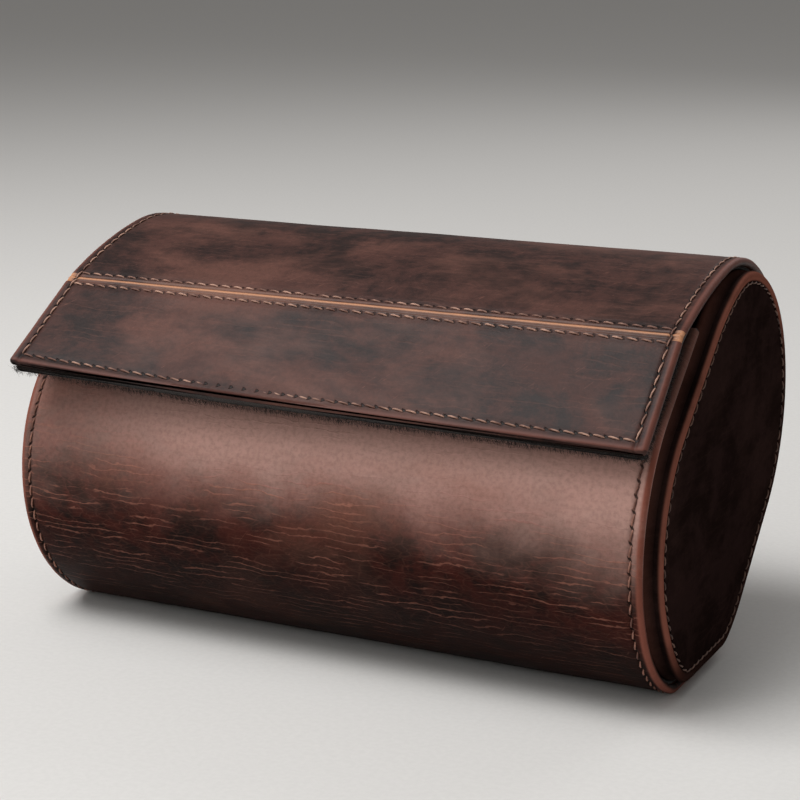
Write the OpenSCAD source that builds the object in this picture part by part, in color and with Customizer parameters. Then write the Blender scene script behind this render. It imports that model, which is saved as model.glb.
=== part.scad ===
// Leather watch roll for three watches. It stands leaning on the flat of its curved wrap.
// X runs along the roll, Y to the back, Z up. The origin is on the table, in the middle of the
// roll's length, under the centre of the lower front curve. Sections are drawn in the Y-Z plane.

/* [Oval section] */
// Radius of the lower front end of the oval
front_radius = 37.1; // [34:0.1:42]
// Radius of the upper back end of the oval
back_radius = 36.3; // [33:0.1:43]
// Distance between the centres of the two end curves
spread = 27.4; // [22:0.1:36]
// Lean of the oval's long axis from the table, in degrees
lean = 41.8; // [38:0.1:50]
// Depth of the lower curve that is pressed flat where the roll stands
base_cut = 2.6; // [2:0.1:5]
// Room between a wall's lining and the rims of the end panels and dividers
rim_fit = 0.3; // [0.2:0.05:0.4]

/* [Wrap] */
// Length of the wrap, without the end panels
wrap_length = 162; // [140:1:190]
// Thickness of the outer leather
leather_t = 1.2; // [1:0.1:1.6]
// Thickness of the stiffening board in the walls
board_t = 0.8; // [0.6:0.1:1.2]
// Thickness of the suede lining
lining_t = 0.5; // [0.4:0.1:0.8]
// Width of the leather folded under along each cut edge
hem_w = 10; // [7:0.5:14]
// Distance that the front wall's top runs past the crease, under the lid
front_wall_lap = 8.2; // [1:0.1:9]

/* [Lid and flap] */
// Direction of the back hinge from the centre of the back curve, in degrees
hinge_angle = 8; // [0:1:20]
// Width of bare leather that bends at the back hinge
hinge_w = 8; // [6:0.5:12]
// Direction in which the lid leaves the back curve, in degrees
lid_leave = 100; // [95:1:106]
// Height of the crease above the lower curve, along the flat front side
crease_rise = 16.8; // [15:0.1:20]
// Width of the groove that bends at the crease
crease_w = 3.2; // [2.6:0.1:4]
// Depth of the groove below the leather's face
crease_sink = 0.4; // [0.2:0.05:0.6]
// Length of the flap, from the crease to its lower edge
flap_length = 30.5; // [27:0.5:34]
// Room between the flap's felt and the front wall at the crease
flap_clear = 3.25; // [2.4:0.05:3.6]
// Angle by which the closed flap leans in towards the flat front side, in degrees
flap_lean = 3.2; // [0:0.1:4]
// Width of the edge that is turned in round the flap
flap_hem_w = 8; // [6:0.5:9]
// Width of plain leather between the crease and the flap's board
crease_seam_w = 5; // [4:0.5:6]
// Radius of the flap's two lower corners
flap_corner = 1.5; // [1:0.5:6]
// Thickness of the felt under the flap
flap_felt_t = 1.6; // [1:0.1:1.8]
// Distance that the felt stands back from the flap's edges
flap_felt_inset = 0.8; // [0.4:0.1:2]

/* [Magnets] */
// Diameter of the closing magnets
magnet_d = 8; // [6:0.5:8.5]
// Distance of each magnet from the middle of the roll
magnet_x = 48; // [35:1:60]
// Room round a magnet in its board
magnet_fit = 0.2; // [0.1:0.05:0.3]

/* [End panels and dividers] */
// Distance that an end panel stands out past the wrap
end_proud = 2.7; // [1.5:0.1:4]
// Thickness of an end panel's board
end_board_t = 3.3; // [2.5:0.1:4]
// Radius of the end panels' outer rim
end_round = 2; // [1:0.1:2.4]
// Thickness of a divider's board
divider_board_t = 2; // [1.5:0.1:3]
// Thickness of the suede on dividers and on the panels' inner sides
suede_t = 0.6; // [0.4:0.1:0.8]

/* [Cushions] */
// Radius of a cushion's two rounded ends
cushion_radius = 27; // [24:0.5:27]
// Distance between the centres of those two ends
cushion_rise = 14; // [8:1:18]
// Direction in which a cushion lifts out, in degrees from the table
lift_angle = 70; // [68:1:74]
// Distance of the cushion's lower centre behind the lower front curve's centre
cushion_back = 6; // [5:0.2:6.4]
// Room between a cushion's side and its slot
cushion_side_fit = 1.2; // [0.8:0.1:2]
// Room between a cushion and the lining that it lies on
cushion_seat = 0.3; // [0.2:0.05:0.3]
// Depth by which the seams draw a cushion's edges in
cushion_draw = 3.2; // [2:0.1:4]
// Swell of a cushion's end faces past their seams
cushion_crown = 2.6; // [1.5:0.1:3]
// Thickness of a cushion's suede cover
cushion_cover_t = 0.8; // [0.6:0.1:1.2]
// Room between a cushion's foam and its cover
foam_fit = 0.1; // [0.05:0.05:0.3]

/* [Hidden] */

slots = 3;                    // watch slots, each with its own cushion
arc_step = 6;                 // largest turn between two points of a curve, in degrees
overlap = 0.01;               // how far a cutting shape runs past the face that it cuts
magnet_ledge = 1;             // board left above a magnet's hole in the flap
press_ease = base_cut / 3;    // height over which the curve eases into the flat
wall_t = lining_t + board_t + leather_t;
wall_out = rim_fit + wall_t;  // outer face of the walls, measured from the panels' rim
board_out = rim_fit + lining_t + board_t;
lining_out = rim_fit + lining_t;
panel_floor = wall_out;       // height of the end panels' flat bottom

// The oval is two circles joined by straight sides.
front_c = [0, panel_floor + front_radius - base_cut];
back_c = front_c + spread * [cos(lean), sin(lean)];
side_turn = acos((front_radius - back_radius) / spread);
front_side = lean + side_turn;   // outward direction of the upper front side
rear_side = lean - side_turn;    // outward direction of the lower back side
front_out = [cos(front_side), sin(front_side)];
front_up = [cos(front_side - 90), sin(front_side - 90)];
front_foot = front_c + front_radius * front_out;
hinge_half = hinge_w / 2 / (back_radius + wall_out) * 180 / PI;

// The crease stands high enough for the flap's felt to clear the front wall.
flap_t = leather_t + board_t + flap_felt_t;
crease = front_foot + crease_rise * front_up + (wall_out + flap_t + flap_clear) * front_out;
flap_slope = front_side - 90 + flap_lean;

// The lid leaves the back curve without a kink, and one arc takes it on to the crease.
lid_start = on_circle(back_c, back_radius + wall_out, lid_leave);
lid_start_out = [cos(lid_leave), sin(lid_leave)];
lid_chord = crease - lid_start;
lid_radius = -(lid_chord * lid_chord) / (2 * lid_chord * lid_start_out) - wall_out;
lid_c = lid_start - (lid_radius + wall_out) * lid_start_out;
crease_angle = atan2(crease.y - lid_c.y, crease.x - lid_c.x);
crease_half = crease_w / 2 / (lid_radius + wall_out) * 180 / PI;
flap_board_top = crease_w / 2 + crease_seam_w;
magnet_reach = flap_board_top + magnet_ledge + magnet_fit + magnet_d / 2;
magnet_rise = crease_rise - magnet_reach * cos(flap_lean);

panel_t = leather_t + end_board_t + suede_t;
panel_face = wrap_length / 2 + end_proud;
panel_inner = panel_face - panel_t;
divider_t = divider_board_t + 2 * suede_t;
slot_w = (2 * panel_inner - (slots - 1) * divider_t) / slots;
slot_pitch = slot_w + divider_t;
cushion_w = slot_w - 2 * cushion_side_fit;

leather_colour = [0.24, 0.12, 0.09];
lid_colour = [0.20, 0.12, 0.10];
groove_colour = [0.48, 0.25, 0.12];
board_colour = [0.55, 0.47, 0.36];
suede_colour = [0.09, 0.07, 0.06];
felt_colour = [0.07, 0.06, 0.05];
magnet_colour = [0.68, 0.69, 0.71];
cushion_colour = [0.30, 0.24, 0.19];
foam_colour = [0.85, 0.82, 0.72];

// ---- curves of the section ----

function on_circle(c, r, a) = c + r * [cos(a), sin(a)];

function arc(c, r, a0, a1, skip = 0) =
    let (n = ceil(abs(a1 - a0) / arc_step))
    [for (i = [skip : n]) on_circle(c, r, a0 + (a1 - a0) * i / n)];

function reversed(path) = [for (i = [len(path) - 1 : -1 : 0]) path[i]];

// A path that runs inside another, but starts and ends on its ends.
function tucked(inside, edge) =
    [for (i = [0 : len(edge) - 1]) i == 0 || i == len(edge) - 1 ? edge[i] : inside[i]];

// Height over the table's plane, eased from the curve into the flat.
function eased(h) =
    h < -press_ease ? 0
    : h > press_ease ? h
    : pow(h + press_ease, 2) / (4 * press_ease);

// Presses the lower curve flat, d outside the panels' rim.
function pressed(path, d) =
    let (low = panel_floor - d)
    [for (p = path) [p.x, low + eased(p.y - low)]];

// Closed oval, d outside the panels' rim.
function oval(d) = pressed(concat(
    arc(front_c, front_radius + d, front_side, 360 + rear_side),
    arc(back_c, back_radius + d, rear_side, front_side)), d);

// Open path of the tray's walls: front wall, bottom and back.
function tray_path(d) = pressed(concat(
    [front_foot + d * front_out + (crease_rise + front_wall_lap) * front_up],
    arc(front_c, front_radius + d, front_side, 360 + rear_side),
    arc(back_c, back_radius + d, rear_side, hinge_angle - hinge_half)), d);

function hinge_path(d) =
    arc(back_c, back_radius + d, hinge_angle - hinge_half, hinge_angle + hinge_half);

function lid_path(d) = concat(
    arc(back_c, back_radius + d, hinge_angle + hinge_half, lid_leave),
    arc(lid_c, lid_radius + d, lid_leave, crease_angle - crease_half, skip = 1));

// A point of the flap, s from the crease towards the lower edge.
function flap_point(s, d) =
    crease - s * [cos(flap_slope), sin(flap_slope)]
    + (d - wall_out) * [-sin(flap_slope), cos(flap_slope)];

function crease_path(d) = [
    on_circle(lid_c, lid_radius + d, crease_angle - crease_half),
    on_circle(lid_c, lid_radius + d, crease_angle),
    flap_point(crease_w / 2, d)
];

// ---- helpers ----

// Extrudes a section in Y-Z along X, from x0 to x1.
module along_roll(x0, x1) {
    translate([x0, 0, 0])
        rotate([90, 0, 90])
            linear_extrude(x1 - x0)
                children();
}

module band(outer, inner) {
    polygon(concat(outer, reversed(inner)));
}

// Stands children on the upper front side, Y up along it and Z outwards.
module on_front_side(rise) {
    foot = front_foot + rise * front_up;
    translate([0, foot.x, foot.y])
        rotate([front_side - 90, 0, 0])
            children();
}

// Lays children on the flap's outer face, Y towards the crease and Z outwards.
module on_flap() {
    translate([0, crease.x, crease.y])
        rotate([flap_slope, 0, 0])
            children();
}

module left_and_right() {
    children();
    mirror([1, 0, 0])
        children();
}

module magnet_pair(d, h, z) {
    for (side = [-1, 1])
        translate([side * magnet_x, 0, z])
            cylinder(h = h, d = d, $fn = 48);
}

// ---- tray: the fixed walls ----

module wrap_leather() {
    color(leather_colour) {
        along_roll(-wrap_length / 2, wrap_length / 2)
            band(tray_path(wall_out), tray_path(board_out));
        left_and_right()
            along_roll(wrap_length / 2 - hem_w, wrap_length / 2)
                band(tray_path(board_out + overlap), tray_path(lining_out));
    }
}

module wrap_board() {
    color(board_colour)
        difference() {
            along_roll(hem_w - wrap_length / 2, wrap_length / 2 - hem_w)
                band(tray_path(board_out), tray_path(lining_out));
            on_front_side(magnet_rise)
                magnet_pair(magnet_d + 2 * magnet_fit, board_t + 2 * overlap, lining_out - overlap);
        }
}

module wrap_lining() {
    color(suede_colour)
        along_roll(-wrap_length / 2, wrap_length / 2)
            band(tray_path(lining_out), tray_path(rim_fit));
}

module front_magnets() {
    color(magnet_colour)
        on_front_side(magnet_rise)
            magnet_pair(magnet_d, board_t, lining_out);
}

module back_hinge() {
    color(leather_colour)
        along_roll(-wrap_length / 2, wrap_length / 2)
            band(hinge_path(wall_out), hinge_path(board_out));
}

// ---- lid ----

module lid_leather() {
    color(lid_colour) {
        along_roll(-wrap_length / 2, wrap_length / 2)
            band(lid_path(wall_out), lid_path(board_out));
        left_and_right()
            along_roll(wrap_length / 2 - hem_w, wrap_length / 2)
                band(tucked(lid_path(board_out + overlap), lid_path(board_out)), lid_path(lining_out));
    }
}

module lid_board() {
    color(board_colour)
        along_roll(hem_w - wrap_length / 2, wrap_length / 2 - hem_w)
            band(lid_path(board_out), lid_path(lining_out));
}

module lid_lining() {
    color(suede_colour)
        along_roll(-wrap_length / 2, wrap_length / 2)
            band(lid_path(lining_out), lid_path(rim_fit));
}

module flap_crease() {
    color(groove_colour)
        along_roll(-wrap_length / 2, wrap_length / 2)
            band(crease_path(wall_out - crease_sink), crease_path(board_out - crease_sink));
}

// ---- flap ----

// Outline of a layer of the flap, drawn in from the ends and lower edge by inset.
module flap_outline(inset, top) {
    half = wrap_length / 2 - inset;
    low = inset - flap_length;
    r = max(flap_corner - inset, flap_corner / 5);
    polygon(concat(
        [[-half, -top]],
        arc([r - half, low + r], r, 180, 270),
        arc([half - r, low + r], r, 270, 360),
        [[half, -top]]));
}

module flap_layer(z, t, inset, top) {
    on_flap()
        translate([0, 0, z])
            linear_extrude(t)
                flap_outline(inset, top);
}

module flap_leather() {
    color(lid_colour)
        difference() {
            flap_layer(-leather_t - board_t, leather_t + board_t, 0, crease_w / 2);
            flap_layer(-leather_t - board_t - overlap, board_t + overlap, flap_hem_w, flap_board_top);
        }
}

module flap_board() {
    color(board_colour)
        difference() {
            flap_layer(-leather_t - board_t, board_t, flap_hem_w, flap_board_top);
            on_flap()
                translate([0, -magnet_reach, 0])
                    magnet_pair(magnet_d + 2 * magnet_fit, board_t + 2 * overlap,
                        -leather_t - board_t - overlap);
        }
}

module flap_felt() {
    color(felt_colour)
        flap_layer(-flap_t, flap_felt_t, flap_felt_inset, crease_w / 2);
}

module flap_magnets() {
    color(magnet_colour)
        on_flap()
            translate([0, -magnet_reach, 0])
                magnet_pair(magnet_d, board_t, -leather_t - board_t);
}

// ---- end panels, drawn at the right end and mirrored for the left ----

module slab(x0, x1, d) {
    along_roll(x0, x1)
        polygon(oval(d));
}

module panel_cover() {
    soft = end_round * (1 - cos(45));
    skin = 0.02;
    color(leather_colour)
        difference() {
            hull() {
                slab(panel_inner, panel_face - end_round, 0);
                slab(panel_inner, panel_face - soft, -soft);
                slab(panel_inner, panel_face - skin, skin - end_round);
            }
            slab(panel_inner - overlap, panel_face - leather_t, -leather_t);
        }
}

module panel_board() {
    color(board_colour)
        slab(panel_inner + suede_t, panel_face - leather_t, -leather_t);
}

module panel_lining() {
    color(suede_colour)
        slab(panel_inner, panel_inner + suede_t, -leather_t);
}

module right_end_cover() { panel_cover(); }
module right_end_board() { panel_board(); }
module right_end_lining() { panel_lining(); }
module left_end_cover() { mirror([1, 0, 0]) panel_cover(); }
module left_end_board() { mirror([1, 0, 0]) panel_board(); }
module left_end_lining() { mirror([1, 0, 0]) panel_lining(); }

// ---- dividers ----

function divider_x(i) = (i - slots / 2) * slot_pitch;

module divider_cover(i) {
    color(suede_colour)
        translate([divider_x(i), 0, 0])
            difference() {
                slab(-divider_t / 2, divider_t / 2, 0);
                slab(-divider_board_t / 2, divider_board_t / 2, -suede_t);
            }
}

module divider_board(i) {
    color(board_colour)
        translate([divider_x(i), 0, 0])
            slab(-divider_board_t / 2, divider_board_t / 2, -suede_t);
}

// ---- cushions ----

cushion_sides = 28;           // points round a cushion
tube_rings = 6;               // rings from seam to seam
face_rings = 3;               // rings from a seam to the middle of an end face

// Half of a cushion from its middle outwards: [distance along X, share of the full section].
function cushion_half(w, r) = concat(
    [for (i = [tube_rings / 2 : tube_rings])
        let (u = 2 * i / tube_rings - 1)
        [u * (w / 2 - cushion_crown), 1 - cushion_draw / r * pow(u, 4)]],
    [for (i = [1 : face_rings])
        let (v = i / (face_rings + 1))
        [w / 2 - cushion_crown * pow(1 - v, 2), (1 - cushion_draw / r) * (1 - v)]]);

function cushion_rings(w, r) =
    let (half = cushion_half(w, r))
    concat([for (i = [len(half) - 1 : -1 : 1]) [-half[i].x, half[i].y]], half);

function cushion_ring(x, share, r, rise) = [
    for (k = [0 : cushion_sides - 1])
        let (a = 360 * k / cushion_sides)
        [x, share * r * cos(a), share * (r * sin(a) + sign(sin(a)) * rise / 2)]];

// Closed skin of a cushion, round the origin, its rise along Z.
module cushion_form(w, r, rise) {
    rings = cushion_rings(w, r);
    n = cushion_sides;
    last = len(rings) - 1;
    points = concat(
        [for (q = rings) each cushion_ring(q.x, q.y, r, rise)],
        [[-w / 2, 0, 0], [w / 2, 0, 0]]);
    sides = [for (j = [0 : last - 1], k = [0 : n - 1])
        let (a = j * n + k, b = j * n + (k + 1) % n)
        each [[a, b + n, b], [a, a + n, b + n]]];
    ends = [for (k = [0 : n - 1])
        each [[(last + 1) * n, k, (k + 1) % n],
              [(last + 1) * n + 1, last * n + (k + 1) % n, last * n + k]]];
    polyhedron(points, concat(sides, ends), convexity = 4);
}

// Places children in slot i, with the cushion's rise along the way it lifts out.
module in_slot(i) {
    low_z = panel_floor - rim_fit + cushion_seat + cushion_radius;
    translate([(i - (slots + 1) / 2) * slot_pitch, cushion_back, low_z])
        rotate([lift_angle - 90, 0, 0])
            translate([0, 0, cushion_rise / 2])
                children();
}

// Form of a cushion at a depth below its outer face.
module cushion_inside(depth) {
    cushion_form(cushion_w - 4 * depth, cushion_radius - depth, cushion_rise);
}

module cushion_cover(i) {
    color(cushion_colour)
        in_slot(i)
            difference() {
                cushion_inside(0);
                cushion_inside(cushion_cover_t);
            }
}

module cushion_core(i) {
    color(foam_colour)
        in_slot(i)
            cushion_inside(cushion_cover_t + foam_fit);
}

wrap_leather();
wrap_board();
wrap_lining();
back_hinge();
lid_leather();
lid_board();
lid_lining();
flap_crease();
flap_leather();
flap_board();
flap_felt();
front_magnets();
flap_magnets();
left_end_cover();
left_end_board();
left_end_lining();
right_end_cover();
right_end_board();
right_end_lining();
divider_cover(1);  // divider_1_cover
divider_board(1);  // divider_1_board
divider_cover(2);  // divider_2_cover
divider_board(2);  // divider_2_board
cushion_cover(1);  // cushion_1_cover
cushion_core(1);  // cushion_1_core
cushion_cover(2);  // cushion_2_cover
cushion_core(2);  // cushion_2_core
cushion_cover(3);  // cushion_3_cover
cushion_core(3);  // cushion_3_core
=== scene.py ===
"""Dresses the leather watch roll: wrap, lid, flap, end panels, dividers, cushions and stitches."""

import logging
import math
from collections.abc import Callable, Sequence
from dataclasses import dataclass
from enum import Enum
from functools import cached_property

import bpy
import numpy as np
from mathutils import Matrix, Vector


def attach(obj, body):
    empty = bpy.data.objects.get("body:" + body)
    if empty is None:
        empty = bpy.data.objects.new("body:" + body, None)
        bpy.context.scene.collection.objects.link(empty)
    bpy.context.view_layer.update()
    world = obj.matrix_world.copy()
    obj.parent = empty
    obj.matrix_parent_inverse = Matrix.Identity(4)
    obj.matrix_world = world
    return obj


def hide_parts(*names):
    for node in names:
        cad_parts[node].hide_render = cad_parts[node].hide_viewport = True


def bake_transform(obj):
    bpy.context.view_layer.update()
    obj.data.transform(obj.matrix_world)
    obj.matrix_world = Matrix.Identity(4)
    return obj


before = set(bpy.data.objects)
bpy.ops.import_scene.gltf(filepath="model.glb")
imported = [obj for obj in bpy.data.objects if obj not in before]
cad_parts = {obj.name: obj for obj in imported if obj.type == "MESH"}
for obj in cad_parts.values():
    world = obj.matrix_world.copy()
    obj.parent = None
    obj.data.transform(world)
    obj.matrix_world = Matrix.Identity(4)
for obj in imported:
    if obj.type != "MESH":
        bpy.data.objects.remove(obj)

MM = 0.001
Array = np.ndarray
Place = Callable[[Array, Array, Array], Array]
Piece = bpy.types.Object
Shade = tuple[int, int, int]
log = logging.getLogger("watch_roll")


class Body(Enum):
    """The bodies that pieces ride on."""

    TRAY = "tray"
    LID = "lid"
    FLAP = "flap"
    CUSHION_1 = "cushion_1"
    CUSHION_2 = "cushion_2"
    CUSHION_3 = "cushion_3"


class Slot(Enum):
    """The material slots that pieces take their finish from."""

    WRAP = "wrap_leather"
    LID = "lid_leather"
    PANEL = "panel_leather"
    CREASE = "crease_leather"
    LINING = "lining_suede"
    CUSHION = "cushion_suede"
    FELT = "felt"
    BOARD = "board"
    MAGNET = "magnet"


class Tone(Enum):
    """The tones of the sewing thread."""

    DARK = "dark_thread"
    LIGHT = "light_thread"
    PANEL = "panel_thread"


class Side(Enum):
    """The two ends of the roll, with the sign of X."""

    LEFT = -1
    RIGHT = 1


# ---- small tools ----


def direction(angle: float) -> Array:
    """Unit vector in the Y-Z plane at an angle in degrees."""
    return np.array([math.cos(math.radians(angle)), math.sin(math.radians(angle))])


def smooth(t: Array) -> Array:
    """Smooth step from 0 to 1."""
    t = np.clip(t, 0.0, 1.0)
    return t * t * (3 - 2 * t)


def hump(distance: Array, width: float) -> Array:
    """Bell curve, 1 at no distance and near 0 at twice its width."""
    return np.exp(-((distance / width) ** 2))


def unit(vectors: Array) -> Array:
    """Vectors of length 1 that point the same way."""
    return vectors / np.maximum(np.linalg.norm(vectors, axis=-1, keepdims=True), 1e-12)


def circle(count: int) -> Array:
    """Evenly spaced angles round a full turn, in radians."""
    return np.arange(count) / count * 2 * np.pi


def turned(arm: Array, angle: Array | float) -> Array:
    """Y-Z vectors, turned by an angle in radians."""
    c, s = np.cos(angle), np.sin(angle)
    return np.stack([arm[..., 0] * c - arm[..., 1] * s, arm[..., 0] * s + arm[..., 1] * c], -1)


def in_space(x: Array, flat: Array) -> Array:
    """Points in space, from places along the roll and points in the Y-Z plane."""
    return np.concatenate([np.broadcast_to(x, flat.shape[:-1])[..., None], flat], -1)


def linear(shade: Shade) -> tuple[float, float, float, float]:
    """Turns a screen colour, 0 to 255, into the linear colour that a shader takes."""
    share = [c / 255 for c in shade]
    light = [c / 12.92 if c <= 0.04045 else ((c + 0.055) / 1.055) ** 2.4 for c in share]
    return (*light, 1.0)


@dataclass(frozen=True)
class Ripple:
    """Smooth seeded noise on a plane, from -1 to 1."""

    seed: int
    size: tuple[float, float]
    octaves: int = 3
    cells: int = 64

    def __call__(self, u: Array, v: Array) -> Array:
        """Value of the noise.

        Args:
            u: First coordinate, in metres.
            v: Second coordinate, in metres.

        Returns:
            One value for each point.
        """
        grid = np.random.RandomState(self.seed).uniform(-1, 1, (self.cells, self.cells))
        total = np.zeros(np.broadcast(u, v).shape)
        weights = [0.5**octave for octave in range(self.octaves)]
        for octave, weight in enumerate(weights):
            a = u / self.size[0] / weight + 17.3 * octave
            b = v / self.size[1] / weight + 5.1 * octave
            i, j = np.floor(a).astype(int), np.floor(b).astype(int)
            p, q = smooth(a - i), smooth(b - j)
            low, high = (
                grid[(i + k) % self.cells, j % self.cells] * (1 - q)
                + grid[(i + k) % self.cells, (j + 1) % self.cells] * q
                for k in (0, 1)
            )
            total = total + (low * (1 - p) + high * p) * weight
        return total / sum(weights)


# ---- the roll's section ----


@dataclass(frozen=True)
class Stretch:
    """Part of the wrap's path: an arc about a centre, or a straight line if it has no radius."""

    origin: Array
    radius: float | None
    start: float
    end: float
    run: float = 0.0

    def length(self, out: float) -> float:
        """Length of the stretch, at a distance outside the panels' rim."""
        if self.radius is None:
            return self.run
        return (self.radius + out) * math.radians(self.end - self.start)

    def place(self, share: Array, out: Array) -> Array:
        """Points of the stretch in the Y-Z plane.

        Args:
            share: Place along the stretch, from 0 to 1.
            out: Distance outside the panels' rim.

        Returns:
            One point for each place.
        """
        angle = np.radians(self.start + (self.end - self.start) * share)
        facing = np.stack([np.cos(angle), np.sin(angle)], -1)
        if self.radius is not None:
            return self.origin + facing * (self.radius + out)[..., None]
        along = np.stack([-facing[..., 1], facing[..., 0]], -1)
        return self.origin + along * (share * self.run)[..., None] + facing * out[..., None]


@dataclass(frozen=True)
class Roll:
    """The roll's section and the surface of its wrap, from the front wall's top to the flap's edge."""

    length: float = 162 * MM
    front_radius: float = 37.1 * MM
    back_radius: float = 36.3 * MM
    spread: float = 27.4 * MM
    lean: float = 41.8
    base_cut: float = 2.6 * MM
    rim_fit: float = 0.3 * MM
    leather: float = 1.2 * MM
    board: float = 0.8 * MM
    lining: float = 0.5 * MM
    hem: float = 10 * MM
    wall_lap: float = 8.2 * MM
    hinge_angle: float = 8.0
    hinge_width: float = 8 * MM
    lid_leave: float = 100.0
    crease_rise: float = 16.8 * MM
    crease_width: float = 3.2 * MM
    flap_length: float = 30.5 * MM
    flap_clear: float = 3.25 * MM
    flap_lean: float = 3.2
    felt: float = 1.6 * MM
    felt_inset: float = 0.8 * MM
    slot_pitch: float = 53.467 * MM
    seam_inset: float = 2.7 * MM
    seam_groove: float = 0.28 * MM
    stitch: float = 3.4 * MM
    crease_row: float = 2.1 * MM
    flap_twist: float = 5.0
    flap_curl: float = 5.9
    curl_start: float = -24 * MM
    panel_draw: float = 2.4 * MM
    upper_front: float = 165.0

    @property
    def half(self) -> float:
        """Half of the wrap's length."""
        return self.length / 2

    @property
    def end_row(self) -> float:
        """Place along the roll of the stitches at its ends."""
        return self.half - self.seam_inset

    @property
    def lining_out(self) -> float:
        """Face of the lining that lies on the board, outside the panels' rim."""
        return self.rim_fit + self.lining

    @property
    def wall_out(self) -> float:
        """Outer face of the wrap, outside the panels' rim."""
        return self.lining_out + self.board + self.leather

    @cached_property
    def front_centre(self) -> Array:
        """Centre of the lower front curve."""
        return np.array([0.0, self.wall_out + self.front_radius - self.base_cut])

    @cached_property
    def back_centre(self) -> Array:
        """Centre of the upper back curve."""
        return self.front_centre + self.spread * direction(self.lean)

    @cached_property
    def sides(self) -> tuple[float, float]:
        """Outward directions of the upper front side and the lower back side."""
        turn = math.degrees(math.acos((self.front_radius - self.back_radius) / self.spread))
        return self.lean + turn, self.lean - turn

    @cached_property
    def foot(self) -> Array:
        """Where the lower front curve ends on the upper front side."""
        return self.front_centre + self.front_radius * direction(self.sides[0])

    @cached_property
    def crease(self) -> Array:
        """The crease, on the outer face."""
        out, up = direction(self.sides[0]), direction(self.sides[0] - 90)
        layers = self.leather + self.board + self.felt
        return self.foot + self.crease_rise * up + (self.wall_out + layers + self.flap_clear) * out

    @cached_property
    def stretches(self) -> list[Stretch]:
        """The wrap's path: front wall, front curve, back side, back curve, lid and flap."""
        front, rear = self.sides
        wall = self.crease_rise + self.wall_lap
        rear_foot = self.front_centre + self.front_radius * direction(rear)
        rear_run = math.sqrt(self.spread**2 - (self.front_radius - self.back_radius) ** 2)
        leave = direction(self.lid_leave)
        start = self.back_centre + (self.back_radius + self.wall_out) * leave
        chord = self.crease - start
        bow = -(chord @ chord) / (2 * chord @ leave)
        lid_centre = start - bow * leave
        to_crease = self.crease - lid_centre
        crease_angle = math.degrees(math.atan2(to_crease[1], to_crease[0]))
        facing = front + self.flap_lean
        return [
            Stretch(self.foot + wall * direction(front - 90), None, front, front, wall),
            Stretch(self.front_centre, self.front_radius, front, 360 + rear),
            Stretch(rear_foot, None, rear, rear, rear_run),
            Stretch(self.back_centre, self.back_radius, rear, self.lid_leave),
            Stretch(lid_centre, bow - self.wall_out, self.lid_leave, crease_angle),
            Stretch(self.crease - self.wall_out * direction(facing), None, facing, facing, self.flap_length),
        ]

    @cached_property
    def marks(self) -> Array:
        """Distances along the outer face at which the stretches start, and the path's whole length."""
        return np.cumsum([0.0] + [s.length(self.wall_out) for s in self.stretches])

    @cached_property
    def hinge_marks(self) -> tuple[float, float]:
        """Distances along the path at which the bending strip at the back starts and ends."""
        turn = math.radians(self.hinge_angle - self.stretches[3].start)
        middle = self.marks[3] + (self.back_radius + self.wall_out) * turn
        return middle - self.hinge_width / 2, middle + self.hinge_width / 2

    @cached_property
    def crease_marks(self) -> tuple[float, float]:
        """Distances along the path at which the crease's bending strip starts and ends."""
        return self.marks[5] - self.crease_width / 2, self.marks[5] + self.crease_width / 2

    @staticmethod
    def follow(parts: list[Stretch], marks: Array, along: Array, out: Array) -> Array:
        """Points of a path in the Y-Z plane.

        Args:
            parts: The path's stretches.
            marks: Distances at which they start, and the last one's end.
            along: Distance along the path. The first and last stretch run on beyond its ends.
            out: Distance outside the panels' rim.

        Returns:
            One point for each distance.
        """
        found = np.zeros((*along.shape, 2))
        which = np.clip(np.searchsorted(marks, along, "right") - 1, 0, len(parts) - 1)
        for k, part in enumerate(parts):
            inside = which == k
            share = (along[inside] - marks[k]) / (marks[k + 1] - marks[k])
            found[inside] = part.place(share, out[inside])
        return found

    def section(self, along: Array, out: Array) -> Array:
        """Points of the wrap's path in the Y-Z plane, rounded at the crease, before the flap's twist.

        Args:
            along: Distance along the outer face from the front wall's top.
            out: Distance outside the panels' rim.

        Returns:
            One point for each distance.
        """
        found = self.follow(self.stretches, self.marks, along, out)
        low, high = self.crease_marks
        share = (along - low) / (high - low)
        inside = (share > 0) & (share < 1)
        t, d = share[inside][..., None], out[inside]
        lid, flap = self.stretches[4:]
        reach = self.crease_width / 2
        first = lid.place(np.full(d.shape, 1 - reach / lid.length(self.wall_out)), d)
        last = flap.place(np.full(d.shape, reach / self.flap_length), d)
        corner = self.crease + (d - self.wall_out)[..., None] * direction((lid.end + flap.start) / 2)
        found[inside] = (1 - t) ** 2 * first + 2 * t * (1 - t) * corner + t**2 * last
        return found

    def pressed(self, points: Array, out: Array) -> Array:
        """Presses the lower curve flat where the roll stands, with an eased start."""
        low = (self.wall_out - out)[..., None]
        ease = self.base_cut / 3
        height = points[..., 1:] - low
        eased = np.where(height > ease, height, (np.maximum(height, -ease) + ease) ** 2 / (4 * ease))
        return np.concatenate([points[..., :1], low + eased], -1)

    def lift(self, x: Array) -> Array:
        """Angle by which the flap stands up at a place along the roll: it has sprung at its left end."""
        twist = self.flap_twist * (self.half - x) / self.length
        curl = self.flap_curl * np.clip((self.curl_start - x) / (self.curl_start + self.half), 0, None)
        return np.radians(twist + curl)

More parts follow.
